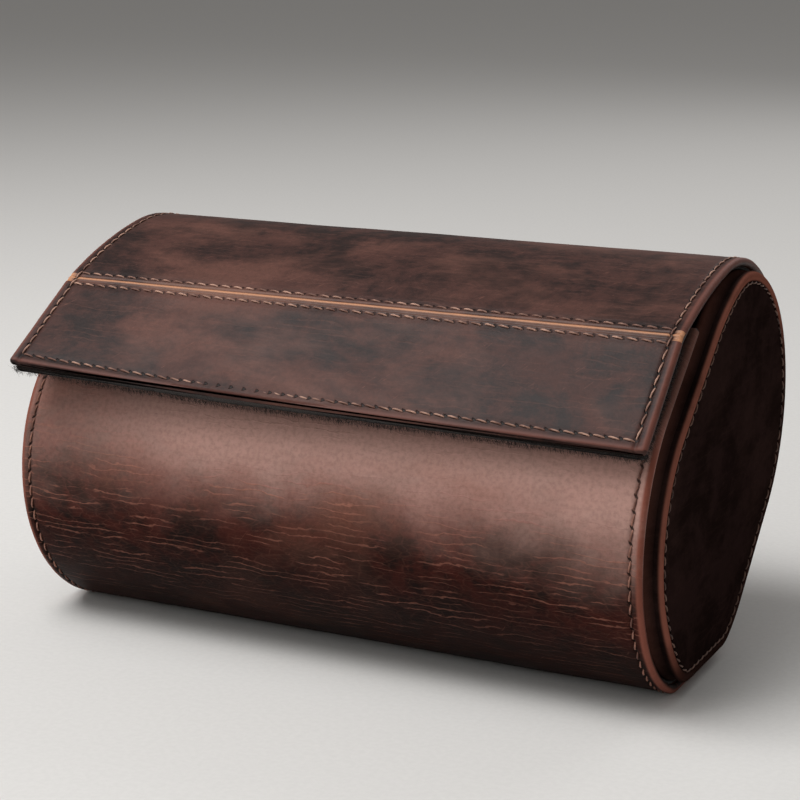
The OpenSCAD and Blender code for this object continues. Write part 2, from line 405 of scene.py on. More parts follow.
    def surface(self, x: Array, along: Array, out: Array) -> Array:
        """Points of the wrap in space.

        Args:
            x: Place along the roll.
            along: Distance along the outer face from the front wall's top.
            out: Distance outside the panels' rim.

        Returns:
            Points, with X, Y and Z last.
        """
        x, along, out = np.broadcast_arrays(*(np.asarray(v, float) for v in (x, along, out)))
        flat = self.section(along, out)
        closed = np.where((along < self.hinge_marks[0])[..., None], self.pressed(flat, out), flat)
        low, high = self.crease_marks
        turn = -self.lift(x) * smooth((along - low) / (high - low))
        return in_space(x, self.crease + turned(closed - self.crease, turn))

    def oval(self, turn: Array, out: Array | float) -> Array:
        """Points of the panels' closed oval in the Y-Z plane.

        Args:
            turn: Place round the oval, from 0 to 1.
            out: Distance outside the panels' rim.

        Returns:
            One point for each place.
        """
        front, rear = self.sides
        side = self.stretches[2]
        top = self.back_centre + self.back_radius * direction(front)
        parts = [
            self.stretches[1],
            side,
            Stretch(self.back_centre, self.back_radius, rear, front),
            Stretch(top, None, front, front, side.run),
        ]
        marks = np.cumsum([0.0] + [part.length(0) for part in parts])
        turn, out = np.broadcast_arrays(np.asarray(turn, float) % 1.0, np.asarray(out, float))
        return self.pressed(self.follow(parts, marks, turn * marks[-1], out), out)

    def frontness(self, turn: Array) -> Array:
        """Share by which the oval faces the upper front at a place round it."""
        facing = self.oval(turn, MM) - self.oval(turn, 0.0)
        return smooth((facing @ direction(self.upper_front) / MM - 0.15) / 0.6)

    def drawn(self, turn: Array, x: Array) -> Array:
        """Distance by which the proud part of a panel's rim is drawn in behind the front wall."""
        reach = smooth((np.abs(x) - self.half + 1.5 * MM) / (2.8 * MM))
        return self.panel_draw * self.frontness(turn) * reach

    @cached_property
    def girth(self) -> float:
        """Length round the panels' oval."""
        points = self.oval(np.linspace(0, 1, 721), 0.0)
        return float(np.linalg.norm(np.diff(points, axis=0), axis=1).sum())


# ---- meshes ----


class Maker:
    """Turns arrays of points into Blender objects."""

    @staticmethod
    def link(name: str, data: bpy.types.ID) -> Piece:
        """Makes an object of some data and links it to the scene."""
        made = bpy.data.objects.new(name, data)
        bpy.context.scene.collection.objects.link(made)
        return made

    @classmethod
    def piece(cls, name: str, points: Array, faces: Sequence[Sequence[int]]) -> Piece:
        """Makes a smooth mesh object.

        Args:
            name: The object's name.
            points: X, Y and Z of each vertex, in the last axis.
            faces: Vertex numbers of each face.

        Returns:
            The new object, linked to the scene.
        """
        mesh = bpy.data.meshes.new(name)
        mesh.from_pydata(points.reshape(-1, 3).tolist(), [], faces)
        mesh.validate()
        mesh.shade_smooth()
        return cls.link(name, mesh)

    @staticmethod
    def tube_faces(shape: tuple[int, ...]) -> tuple[Array, list[list[int]]]:
        """Faces of closed tubes.

        Args:
            shape: Numbers of tubes, of rings in each tube and of points in each ring.

        Returns:
            The four-sided faces between rings, and the caps of all tubes' starts and ends.
        """
        index = np.arange(math.prod(shape)).reshape(shape)
        around = np.roll(index, -1, 2)
        quads = np.stack([index[:, :-1], around[:, :-1], around[:, 1:], index[:, 1:]], -1)
        return quads.reshape(-1, 4), [*index[:, 0, ::-1].tolist(), *index[:, -1].tolist()]

    @classmethod
    def tubes(cls, name: str, rings: Array) -> Piece:
        """Makes one object of closed tubes, from points shaped (tubes, rings, points, 3)."""
        quads, caps = cls.tube_faces(rings.shape[:3])
        return cls.piece(name, rings, quads.tolist() + caps)

    @staticmethod
    def volume(points: Array, quads: Array) -> float:
        """Signed volume round the points' middle, which tells which way the faces look."""
        corner = (points - points.mean(0))[quads]
        crosses = np.cross(corner[:, 1:3], corner[:, 2:4]).sum(1)
        return float((corner[:, 0] * crosses).sum())

    @staticmethod
    def store(made: Piece, name: str, values: Array) -> None:
        """Stores one number or vector for each vertex, for the finishes to read."""
        kind, key = ("FLOAT_VECTOR", "vector") if values.ndim == 2 else ("FLOAT", "value")
        attribute = made.data.attributes.new(name, kind, "POINT")
        attribute.data.foreach_set(key, np.ascontiguousarray(values, np.float32).ravel())

    @classmethod
    def loft(cls, name: str, rings: Array, before: Array | None = None, after: Array | None = None) -> Piece:
        """Skins closed rings and caps both ends.

        Args:
            name: The object's name.
            rings: Points of each ring, shaped (rings, points, 3).
            before: A ring before the first, where the surface runs on into a neighbour.
            after: A ring after the last, where the surface runs on into a neighbour.

        Returns:
            The new object. Its shading runs on smoothly into its neighbours.
        """
        quads, caps = cls.tube_faces((1, *rings.shape[:2]))
        faces = quads.tolist() + caps
        if cls.volume(rings.reshape(-1, 3), quads) < 0:
            faces = [face[::-1] for face in faces]
        made = cls.piece(name, rings, faces)
        first = 2 * rings[0] - rings[1] if before is None else before
        last = 2 * rings[-1] - rings[-2] if after is None else after
        padded = np.concatenate([first[None], rings, last[None]])
        across = np.roll(rings, -1, 1) - np.roll(rings, 1, 1)
        normals = unit(np.cross(across, padded[2:] - padded[:-2])).reshape(-1, 3)
        cls.set_normals(made.data, normals, len(quads))
        return made

    @staticmethod
    def set_normals(mesh: bpy.types.Mesh, normals: Array, smooth_faces: int) -> None:
        """Gives a mesh's first faces the points' own normals, and leaves the caps flat.

        Args:
            mesh: The mesh.
            normals: Each vertex's normal, outwards or inwards.
            smooth_faces: Number of faces before the caps.
        """
        corners = np.zeros(len(mesh.loops), int)
        mesh.loops.foreach_get("vertex_index", corners)
        first = mesh.polygons[0]
        outward = np.sign(np.dot(first.normal, normals[first.vertices[0]])) or -1
        chosen = normals[corners] * outward
        for cap in mesh.polygons[smooth_faces:]:
            chosen[cap.loop_start : cap.loop_start + cap.loop_total] = tuple(cap.normal)
        mesh.normals_split_custom_set(chosen.tolist())


@dataclass(frozen=True)
class Seam:
    """A row of stitches, each a twisted thread that dips into a hole at both ends."""

    thread: float = 0.44 * MM
    rise: float = 0.17 * MM
    dip: float = 0.5 * MM
    slant: float = 0.26 * MM
    inset: float = 0.06
    turns: float = 1.1
    sides: int = 8
    steps: int = 9

    def sew(self, name: str, place: Place, holes: Sequence[tuple[float, float]]) -> Piece:
        """Sews a row through holes on a surface.

        Args:
            name: The object's name.
            place: Gives points from two surface coordinates and a height above the surface.
            holes: Surface coordinates of each hole, in order.

        Returns:
            One mesh with all the row's stitches.
        """
        points = np.array(holes, float)
        step = np.diff(points, axis=0)
        sideways = unit(np.stack([-step[:, 1], step[:, 0]], -1))
        t = np.linspace(0, 1, self.steps)[None, :, None]
        middle = points[:-1, None] + step[:, None] * (self.inset + (1 - 2 * self.inset) * t)
        middle = middle + sideways[:, None] * (2 * t - 1) * self.slant
        arch = np.sin(np.pi * t[..., 0]) ** 0.45
        height = np.broadcast_to(self.rise - self.dip * (1 - arch), middle.shape[:2])
        centre = place(middle[..., 0], middle[..., 1], height)
        over = unit(place(middle[..., 0], middle[..., 1], height + self.thread) - centre)
        beside = np.cross(unit(np.gradient(centre, axis=1)), over)
        angle = circle(self.sides)
        strands = 1 + 0.13 * np.cos(2 * (angle - 2 * np.pi * self.turns * t))
        radius = self.thread / 2 * strands * (0.72 + 0.28 * arch[..., None])
        spoke = beside[:, :, None] * (radius * np.cos(angle))[..., None]
        spoke = spoke + over[:, :, None] * (radius * np.sin(angle))[..., None]
        return Maker.tubes(name, centre[:, :, None] + spoke)


# ---- finishes ----


@dataclass(frozen=True)
class Value:
    """An output of a shader node, which sums can be done with."""

    graph: "Graph"
    socket: bpy.types.NodeSocket

    def sum(self, operation: str, other: "Value | float" = 0.0) -> "Value":
        """One sum with another value or number."""
        return self.graph.node("Math", {0: self, 1: other}, operation=operation)

    def __add__(self, other: "Value | float") -> "Value":
        """This value and another."""
        return self.sum("ADD", other)

    def __sub__(self, other: "Value | float") -> "Value":
        """This value less another."""
        return self.sum("SUBTRACT", other)

    def __rsub__(self, other: float) -> "Value":
        """A number less this value."""
        return self.graph.node("Math", {0: other, 1: self}, operation="SUBTRACT")

    def __mul__(self, other: "Value | float") -> "Value":
        """This value times another."""
        return self.sum("MULTIPLY", other)

    def part(self, axis: int) -> "Value":
        """One coordinate of a vector."""
        return self.graph.node("SeparateXYZ", {0: self}, axis)

    def scaled(self, x: float, y: float = 1.0) -> "Value":
        """A vector with its first two coordinates scaled."""
        return self.graph.node("VectorMath", {0: self, 1: (x, y, 1.0)}, operation="MULTIPLY")

    def noise(self, scale: float, detail: float, rough: float, warp: float = 0) -> "Value":
        """Noise from 0 to 1 at a place."""
        inputs = {"Vector": self, "Scale": scale, "Detail": detail, "Roughness": rough, "Distortion": warp}
        return self.graph.node("TexNoise", inputs)

    def between(self, low: float, high: float, start: float = 0, end: float = 1) -> "Value":
        """This value, mapped smoothly from one range onto another."""
        inputs = {"Value": self, 1: low, 2: high, 3: start, 4: end}
        return self.graph.node("MapRange", inputs, interpolation_type="SMOOTHSTEP")


class Graph:
    """A material's shader nodes."""

    def __init__(self, name: str) -> None:
        """Starts a material with a Principled shader."""
        self.material = bpy.data.materials.new(name)
        self.material.use_nodes = True
        self.tree = self.material.node_tree
        self.shader = self.tree.nodes["Principled BSDF"]

    def feed(self, node: bpy.types.Node, values: dict[int | str, object]) -> None:
        """Links or sets a node's inputs, by their names or numbers."""
        for key, value in values.items():
            if isinstance(value, Value):
                self.tree.links.new(value.socket, node.inputs[key])
            else:
                node.inputs[key].default_value = value

    def node(self, kind: str, values: dict, output: int | str = 0, **settings: object) -> Value:
        """Adds a node.

        Args:
            kind: The node's type, without its ShaderNode prefix.
            values: What goes into each named or numbered input.
            output: The output that is wanted.
            settings: The node's own properties.

        Returns:
            The output.
        """
        made = self.tree.nodes.new("ShaderNode" + kind)
        for key, value in settings.items():
            setattr(made, key, value)
        self.feed(made, values)
        return Value(self, made.outputs[output])

    def stored(self, name: str, output: str = "Fac") -> Value:
        """Reads a value that is stored on the mesh."""
        return self.node("Attribute", {}, output, attribute_name=name)

    def here(self) -> Value:
        """The piece's own coordinates."""
        return self.node("TexCoord", {}, "Object")

    def mix(
        self, share: Value | float, first: Value | Shade, second: Value | Shade, blend: str = "MIX"
    ) -> Value:
        """Mixes two colours.

        Args:
            share: Share of the second colour.
            first: A colour, or a screen colour from 0 to 255.
            second: Another colour.
            blend: The way in which they are mixed.

        Returns:
            The mixed colour.
        """
        first, second = (linear(c) if isinstance(c, tuple) else c for c in (first, second))
        return self.node("Mix", {0: share, 6: first, 7: second}, 2, data_type="RGBA", blend_type=blend)

    def bump(self, height: Value, depth: float, strength: float, normal: Value | None = None) -> Value:
        """Bumps the surface, or a normal, by a height that is a share of a depth in metres."""
        inputs = {"Height": height, "Distance": depth, "Strength": strength}
        return self.node("Bump", inputs if normal is None else {**inputs, "Normal": normal})

    def finish(
        self, colour: Value, rough: Value | float, normal: Value, more: dict[str, float]
    ) -> bpy.types.Material:
        """Feeds the shader with colour, roughness, normal and more, and gives the material."""
        self.feed(self.shader, {"Base Color": colour, "Roughness": rough, "Normal": normal, **more})
        return self.material


class Finish:
    """A finish that can be put on a piece."""

    name: str

    @cached_property
    def material(self) -> bpy.types.Material:
        """The Blender material, made once."""
        return self.build(Graph(self.name))

    def build(self, graph: Graph) -> bpy.types.Material:
        """Makes the material."""
        raise NotImplementedError

    def dress(self, made: Piece) -> Piece:
        """Puts the finish on a piece."""
        made.data.materials.clear()
        made.data.materials.append(self.material)
        return made


@dataclass(frozen=True)
class Leather(Finish):
    """Waxed pull-up leather: mottled, creased along the roll, lighter where it is worn.

    The fixed wall's leather has another one behind it: it is lighter over the upper front, partly as
    stretched pull-up leather and partly as a painted sheen, it is painted darker as shade towards
    its bottom and under the flap, and it turns into the other one towards the lid's hinge. Every
    leather is painted dark as shade in stitch holes, along seams and on inner faces, and dark on the
    lower sides of rounded edges, partly as burnish and partly as shade; the upper sides of rounded
    edges and the panels' rims take a worn tone that is partly a painted highlight.
    """

    name: str
    roll: Roll
    deep: Shade
    body: Shade
    tint: Shade
    worn: Shade
    creases: float
    scuffs: float
    gloss: float = 0.3
    coat: float = 0.05
    behind: "Leather | None" = None
    # Share of the fixed wall's upper-front lightening: partly pull-up leather, partly a painted sheen.
    sheen_and_bloom: float = 0.84
    # Tone of that lightening: the pulled leather's colour with a painted highlight in it.
    pulled_tone_and_sheen: Shade = (200, 158, 146)
    # Dark tone below zero on the edges' scale: partly a burnished edge, partly painted shade on the lower
    # sides of rounded edges and on inner faces.
    burnish_and_shade: Shade = (16, 9, 7)
    # Colour of the painted shade in stitch holes and along the seams' grooves.
    sunk: Shade = (14, 8, 6)

    def build(self, graph: Graph) -> bpy.types.Material:
        """Makes the material from the sheet's coordinates, its worn edges with their painted shade and
        highlight, and its seams and holes, which are painted dark as shade.
        """
        skin, wear_and_painted_light = graph.stored("skin", "Vector"), graph.stored("wear_and_painted_light")
        cloud = skin.scaled(0.7).noise(60, 6, 0.68, 0.6)
        creased, hole = self.creased(skin), self.holes(graph)
        colour = self.stained(skin, cloud)
        raised = graph.mix(1.0, graph.mix(0.6, colour, self.tint), colour, "LIGHTEN")
        colour = graph.mix(creased * self.creases, colour, raised)
        spun = graph.node("VectorRotate", {"Vector": skin, "Angle": 0.9})
        scratch = spun.scaled(1.0, 11.0).noise(210, 3, 0.6, 0.6)
        scuff = scratch.between(0.63, 0.72) * cloud.between(0.42, 0.6)
        colour = graph.mix(scuff * self.scuffs, colour, self.tint)
        fibre = skin.noise(900, 3, 0.6).between(0.35, 0.75)
        colour = graph.mix(fibre * 0.22, colour, self.deep)
        # Worn tone, which on the panels' rims is also a painted highlight.
        worn_and_highlit = wear_and_painted_light.between(0, 1) * cloud.between(0.2, 0.55, 0.5, 1)
        if self.behind:
            worn_and_highlit = worn_and_highlit * self.handled_and_lit_share(skin)
        colour = graph.mix(worn_and_highlit, colour, self.worn)
        # Painted shade, partly burnish: below zero the leather is darkened, on the lower sides of rounded
        # edges and on inner faces.
        colour = graph.mix(wear_and_painted_light.between(-0.8, 0, 0.9, 0), colour, self.burnish_and_shade)
        # Painted shade: the leather is darkened in the stitch holes and, more faintly, along the seams'
        # grooves.
        dark = hole.sum("MAXIMUM", graph.stored("seam") * 0.25)
        colour = graph.mix(dark * 0.9, colour, self.sunk)
        normal = graph.bump(skin.noise(1500, 2, 0.5), 0.16 * MM, 0.4)
        normal = graph.bump(creased, 0.2 * MM, 0.5 * self.creases, normal)
        normal = graph.bump(1 - hole, 0.35 * MM, 0.9, normal)
        more = {"Specular IOR Level": self.gloss, "Coat Weight": self.coat, "Coat Roughness": 0.35}
        return graph.finish(colour, cloud.between(0.2, 0.8, 0.46, 0.6), normal, more)

    def holes(self, graph: Graph) -> Value:
        """Slanted holes along a seam, worked out from the distance across and along it; the leather is
        painted dark in them as shade.
        """
        row = graph.stored("row", "Vector")
        phase = (row.part(1).sum("DIVIDE", self.roll.stitch) + 0.5).sum("FRACT")
        near = (phase - 0.5) * self.roll.stitch
        off = row.part(0) - near * 0.6
        wide, long = off.sum("DIVIDE", 0.34 * MM), near.sum("DIVIDE", 0.62 * MM)
        radius = (wide.sum("POWER", 2) + long.sum("POWER", 2)).sum("SQRT")
        return radius.between(0.6, 1.3, 1, 0)

    def stained(self, skin: Value, cloud: Value) -> Value:
        """Colour of the leather with its stains, and on the fixed wall its painted sheen and painted shade.

        Args:
            skin: Place on the leather.
            cloud: Noise of the small stains.

        Returns:
            The colour, before creases, scuffs and wear.
        """
        graph = skin.graph
        patch = skin.scaled(0.6).noise(22, 5, 0.62, 0.3)
        speck = skin.scaled(0.75).noise(340, 6, 0.7)
        stain = (cloud + (speck - 0.5) * 0.5).between(0.36, 0.62)
        shade = patch.between(0.48, 0.64, 0, 0.5)
        first, *others = (
            graph.mix(shade, graph.mix(stain, one.deep, one.body), one.tint)
            for one in (self, self.behind)
            if one
        )
        if not others:
            return first
        front = self.front_share(skin)
        along = skin.part(1) + (patch - 0.5) * (46 * MM)
        # Painted sheen: the upper front is lightened towards the pulled tone, partly as stretched pull-up
        # leather and partly as a painted highlight, with less of it towards the left end.
        light = along.between(39 * MM, 68 * MM, self.sheen_and_bloom, 0)
        left = skin.part(0).between(-78 * MM, -30 * MM, 0.45, 1)
        colour = graph.mix(light * left, graph.mix(front, others[0], first), self.pulled_tone_and_sheen)
        # Painted shade: the front wall darkens towards its bottom, which is turned away from the light
        # above.
        low_painted_shade = along.between(46 * MM, 84 * MM, 0, 0.9)
        colour = graph.mix(low_painted_shade * front, colour, self.deep)
        # Painted shade: under the flap the wall is darkened to the deep tone.
        return graph.mix(self.handled_and_lit_share(skin), self.deep, colour)

    def creased(self, skin: Value) -> Value:
        """Height of the creases: a net of small ones, and long ridges that break off."""
        graph = skin.graph
        warp = graph.node("CombineXYZ", {1: skin.noise(130, 2, 0.5) * (3.2 * MM)})
        bent = graph.node("VectorMath", {0: skin, 1: warp}, operation="ADD")
        cells = {"Vector": bent.scaled(1.0, 3.4), "Scale": 260, "Randomness": 1.0}
        net = graph.node("TexVoronoi", cells, "Distance", feature="DISTANCE_TO_EDGE")
        bands = {"Vector": skin.scaled(0.42), "Scale": 175, "Distortion": 9, "Detail": 4}
        bands.update({"Detail Scale": 0.9, "Detail Roughness": 0.62})
        wave = graph.node("TexWave", bands, 1, wave_type="BANDS", bands_direction="Y")
        broken = skin.scaled(0.35, 1.3).noise(190, 3, 0.6).between(0.44, 0.58)
        where = skin.scaled(0.5).noise(34, 3, 0.5).between(0.3, 0.55, 0.25, 1)
        creased = (net.between(0.0, 0.09, 1, 0) * 0.16 + wave.between(0.88, 0.99) * broken) * where
        if not self.behind:
            return creased
        front = self.front_share(skin)
        fading = skin.part(1).between(60 * MM, 96 * MM, 1, 0.25) * front
        return creased * self.handled_and_lit_share(skin) * fading.sum("MAXIMUM", 0.36 - front)

    def handled_and_lit_share(self, skin: Value) -> Value:
        """Share of handling and of light that the front wall gets: little under the flap, where it wears
        less and is painted darker as shade.
        """
        return skin.part(1).between(20 * MM, 38 * MM, 0.3, 1)

    def front_share(self, skin: Value) -> Value:
        """Share of the front's look that the wall keeps: none near the lid's hinge."""
        hinge = self.roll.hinge_marks[0]
        return skin.part(1).between(hinge - 70 * MM, hinge - 8 * MM, 1, 0)


@dataclass(frozen=True)
class Suede(Finish):
    """Short napped cloth, with brushed patches."""

    name: str
    dark: Shade
    light: Shade
    nap: float = 1400

    def build(self, graph: Graph) -> bpy.types.Material:
        """Makes the material from the piece's own coordinates."""
        where = graph.here()
        nap = where.noise(self.nap, 3, 0.7)
        share = where.noise(55, 3, 0.6, 0.8) * 0.6 + nap * 0.4
        colour = graph.mix(share.between(0.36, 0.66), self.dark, self.light)
        more = {"Sheen Weight": 0.25, "Sheen Roughness": 0.5, "Specular IOR Level": 0.2}
        return graph.finish(colour, 0.93, graph.bump(nap, 0.3 * MM, 0.6), more)


@dataclass(frozen=True)
class Thread(Finish):
    """Waxed sewing thread, two strands twisted."""

    name: str
    dark: Shade
    light: Shade

    def build(self, graph: Graph) -> bpy.types.Material:
        """Makes the material from the piece's own coordinates."""
        where = graph.here()
        dirt, strand = where.noise(160, 3, 0.6), where.noise(3200, 2, 0.5)
        colour = graph.mix(dirt.between(0.36, 0.62), self.dark, self.light)
        return graph.finish(colour, 0.62, graph.bump(strand, 0.12 * MM, 0.5), {})


@dataclass(frozen=True)
class Plain(Finish):
    """Board, metal or paint: one tone with fine mottling and grain."""

    name: str
    tone: Shade
    shade: Shade
    rough: float
    metal: float = 0.0

    def build(self, graph: Graph) -> bpy.types.Material:
        """Makes the material from the piece's own coordinates."""
        speck = graph.here().noise(700, 4, 0.6)
        colour = graph.mix(speck.between(0.3, 0.7), self.shade, self.tone)
        return graph.finish(colour, self.rough, graph.bump(speck, 0.05 * MM, 0.4), {"Metallic": self.metal})


Finishes = dict[Enum, Finish]


# ---- placing pieces ----


@dataclass(frozen=True)
class Bend:
    """Two bodies between which a piece bends, and the points where the bending starts and ends."""

    first: Body
    second: Body
    start: tuple[float, ...]
    end: tuple[float, ...]


def settle(made: Piece, finish: Finish, on: Body | Bend, slot: Slot | None = None, *nodes: str) -> None:
    """Dresses a finished piece, puts it on its body or, on a bend, bakes its place, and reports it.

    Args:
        made: The piece.
        finish: Its finish.
        on: The body that it rides on, or the bend that it lies across, where its place is only baked.
        slot: The material slot that its finish stands for, if the model has one for it; not used.
        nodes: The CAD nodes that it stands for.
    """
    finish.dress(made)
    if isinstance(on, Bend):
        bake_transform(made)
    else:
        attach(made, on.value)
    if nodes:
        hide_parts(*nodes)
    log.info("%s: %d vertices, %d faces", made.name, len(made.data.vertices), len(made.data.polygons))


# ---- the wrap ----


@dataclass(frozen=True)
class Relief:
    """Heights of the wrap's outer face: soft waves, seam grooves and the crease."""

    roll: Roll
    waves: Ripple = Ripple(11, (34 * MM, 22 * MM))
    buckles: Ripple = Ripple(5, (9 * MM, 4 * MM), 2)
    wave_height: float = 0.16 * MM
    buckle_height: float = 0.05 * MM
    calm_width: float = 8 * MM
    band_height: float = 0.1 * MM
    band_width: float = 1.2 * MM
    groove_width: float = 0.5 * MM
    hole_reach: float = 0.7 * MM
    valley_depth: float = 0.24 * MM
    ridge_height: float = 0.06 * MM

    @cached_property
    def seam_lines(self) -> list[float]:
        """Places along the wrap of the rows of stitches that run along the roll."""
        crease, edge = self.roll.marks[5:]
        row = self.roll.crease_row
        return [self.roll.seam_inset, crease - row, crease + row, edge - self.roll.seam_inset]

    def seam_depth(self, x: Array, along: Array) -> Array:
        """Share of the groove's full depth at each place, from 0 to 1."""
        row, width = self.roll.end_row, self.groove_width
        depth = hump(np.abs(x) - row, width)
        inside = np.abs(x) < row + width
        for line in self.seam_lines:
            depth = np.maximum(depth, inside * hump(along - line, width))
        return depth

    def hole_places(self, x: Array, along: Array) -> Array:
        """Distances across and along the nearest row of stitches, as the leather's finish reads them.

        Args:
            x: Place along the roll.
            along: Place along the wrap.

        Returns:
            One vector for each point. A hole lies at each whole stitch along a row.
        """
        row = self.roll.end_row
        beyond = np.maximum(self.seam_lines[0] - along, along - self.seam_lines[-1])
        across = np.abs(x) - row - np.where(beyond > self.hole_reach, 1.0, 0.0)
        run = along
        count = round(2 * row / self.roll.stitch)
        for line in self.seam_lines:
            off = -np.abs(along - line)
            closer = (np.abs(off) < np.abs(across)) & (np.abs(x) < row + self.hole_reach)
            across = np.where(closer, off, across)
            run = np.where(closer, (x + row) / (2 * row) * count * self.roll.stitch, run)
        return np.stack([across, run, 0 * run], -1)

    def swell(self, x: Array, along: Array) -> Array:
        """Height of the leather's soft waves and of the band beyond the end seams."""
        calm = smooth((self.roll.half - np.abs(x)) / self.calm_width)
        height = self.wave_height * self.waves(x, along) * calm + self.buckle_height * self.buckles(x, along)
        return height + self.band_height * smooth((np.abs(x) - self.roll.end_row) / self.band_width)

    def face(self, x: Array, along: Array) -> Array:
        """Height added to the outer face at a place along the roll and along the wrap."""
        height = self.swell(x, along) - self.roll.seam_groove * self.seam_depth(x, along)
        off = along - self.roll.marks[5]
        valley = hump(np.abs(off) - 0.9 * MM, 0.45 * MM)
        return height - self.valley_depth * valley + self.ridge_height * hump(off, 0.34 * MM)


@dataclass(frozen=True)
class Hoops:
    """Closed rings of points across a sheet, in X and outwards, shaped (rings, points)."""

    x: Array
    out: Array
    outer: Array
    wear_and_painted_light: Array


@dataclass(frozen=True)
class Sheet:
    """A sheet of the wrap between two places along it, with rounded ends and raised or sunk seams."""

    relief: Relief
    inner: float
    outer: float
    half: float
    pocket: float | None = None
    flat: bool = True
    column: float = 0.85 * MM
    corner_steps: int = 7
    worn_edge: float = 0.9 * MM
    full: float = 0.99

    @property
    def roll(self) -> Roll:
        """The roll that the sheet is wrapped round."""
        return self.relief.roll

    @property
    def thick(self) -> float:
        """Half of the sheet's thickness."""
        return (self.outer - self.inner) / 2

    def columns(self) -> Array:
        """Places of the outer face's points along X, closer together at the end seams."""
        edge = self.half - self.thick
        even = np.linspace(-edge, edge, int(2 * edge / self.column) + 1)
        row = self.roll.end_row
        if self.half < row + 2 * MM:
            return even
        fine = row + np.array([-1.2, -0.75, -0.4, -0.13, 0.13, 0.4, 0.75, 1.2]) * MM
        kept = even[np.min(np.abs(np.abs(even)[:, None] - fine), axis=1) > 0.14 * MM]
        return np.sort(np.concatenate([kept, fine, -fine]))

    def hoops(self, share: Array) -> Hoops:
        """Rings of points across the sheet.

        Args:
            share: Thickness of each ring, as a share of the sheet's.

        Returns:
            The rings, each from the left of the outer face to the right, and back under it.
        """
        middle, edge = (self.inner + self.outer) / 2, self.half - self.thick
        face = self.columns()
        bulge = self.thick * share[:, None]
        turn = np.radians(np.linspace(90, -90, 2 * self.corner_steps + 1)[1:-1])
        right, side = edge + bulge * np.cos(turn), middle + bulge * np.sin(turn)
        under = np.array([edge, -edge])
        depth = np.repeat(middle - bulge, 2, 1)
        if self.pocket is not None:
            step = self.half - self.roll.hem
            half_under = np.array([edge, step + 0.01 * MM, step])
            under = np.concatenate([half_under, -half_under[::-1]])
            depth = np.repeat(middle - bulge, 6, 1)
            depth[share > self.full, 2:4] = self.pocket
        tall = (len(share), 1)
        x = np.concatenate([np.tile(face, tall), right, np.tile(under, tall), -right[:, ::-1]], 1)
        top = np.repeat(middle + bulge, len(face), 1)
        out = np.concatenate([top, side, depth, side[:, ::-1]], 1)
        near = np.clip(1 - (edge - np.abs(x)) / self.worn_edge, 0, 1)
        rounded = smooth(((out - middle) / self.thick + 0.5) / 1.1)
        wear_and_painted_light = np.where(np.abs(x) > edge, rounded, 0.7 * near**2)
        return Hoops(x, out, np.clip((out - middle) / np.maximum(bulge, 1e-6), 0, 1), wear_and_painted_light)

    def rows(self, start: float, end: float, step: float, round_start: bool, round_end: bool) -> Array:
        """Places of the rings along the sheet, with each ring's share of the thickness.

        Args:
            start: Where the sheet starts along the wrap.
            end: Where it ends.
            step: Largest distance between rings.
            round_start: Whether the sheet has a rounded edge at its start.
            round_end: Whether it has one at its end.

        Returns:
            Pairs of a place and a share.
        """
        angles = np.radians([16, 30, 45, 60, 75])
        lead = self.thick
        low = start + (lead if round_start else 0)
        high = end - (lead if round_end else 0)
        count = max(2, math.ceil((high - low) / step))
        found = [(s, 1.0) for s in np.linspace(low, high, count + 1)]
        if round_start:
            found = [(start + lead * (1 - math.cos(a)), math.sin(a)) for a in angles] + found
        if round_end:
            found += [(end - lead * (1 - math.cos(a)), math.sin(a)) for a in angles[::-1]]
        return np.array(found)

    def raised(self, hoops: Hoops, along: Array) -> Array:
        """Points of rings at places along the wrap, raised by the relief."""
        rise = 0 if self.flat else hoops.outer * self.relief.face(hoops.x, along)
        return self.roll.surface(hoops.x, along, hoops.out + rise)

    def make(
        self,
        name: str,
        start: float,
        end: float,
        step: float = 0.85 * MM,
        round_start: bool = False,
        round_end: bool = False,
        rub: Callable[[Array, Array], Array] | None = None,
    ) -> Piece:
        """Makes the sheet's mesh.

        Args:
            name: The object's name.
            start: Where the sheet starts along the wrap.
            end: Where it ends.
            step: Largest distance between rings.
            round_start: Whether the sheet has a rounded edge at its start.
            round_end: Whether it has one at its end.
            rub: Share of worn colour at a place, beside that of the edges. The inner face is then painted
                dark as shade.

        Returns:
            The new object, which carries its sheet coordinates, its worn edges with their painted highlight
            and shade, and its seams.
        """
        rows = self.rows(start, end, step, round_start, round_end)
        padded = np.concatenate([[(start - step, 1.0)], rows, [(end + step, 1.0)]])
        wide = self.hoops(padded[:, 1])
        points = self.raised(wide, np.broadcast_to(padded[:, :1], wide.x.shape))
        before = None if round_start else points[0]
        after = None if round_end else points[-1]
        made = Maker.loft(name, points[1:-1], before, after)
        x, outer, wear_and_painted_light = wide.x[1:-1], wide.outer[1:-1], wide.wear_and_painted_light[1:-1]
        along, share = (np.broadcast_to(rows[:, k, None], x.shape) for k in (0, 1))
        # On rounded edges the value runs from worn on the upper side, partly a painted highlight line, to
        # below zero on the lower side, which is painted dark as shade, partly as burnish.
        wear_and_painted_light = np.where(share > self.full, wear_and_painted_light, 1.6 * smooth((outer * share - 0.5) / 0.45) - 0.9)
        # Worn tone on the face just before a rounded end, partly a painted highlight line.
        if round_end:
            short = end - self.thick - along
            near = np.clip(1 - short / self.worn_edge, 0, 1) * (short >= 0)
            wear_and_painted_light = np.maximum(wear_and_painted_light, 0.6 * near)
        if rub is not None:
            # Away from the rubbed strip the inner face is set below zero and painted dark as shade.
            wear_and_painted_light = np.where(outer > 0.25, np.maximum(wear_and_painted_light, rub(x, along)), -0.7)
        Maker.store(made, "skin", np.stack([x, along, 0 * x], -1).reshape(-1, 3))
        Maker.store(made, "row", self.relief.hole_places(x, along).reshape(-1, 3))
        Maker.store(made, "wear_and_painted_light", wear_and_painted_light.ravel())
        # The seams' depth, along which the leather is painted dark as shade.
        Maker.store(made, "seam", self.relief.seam_depth(x, along).ravel())
        return made


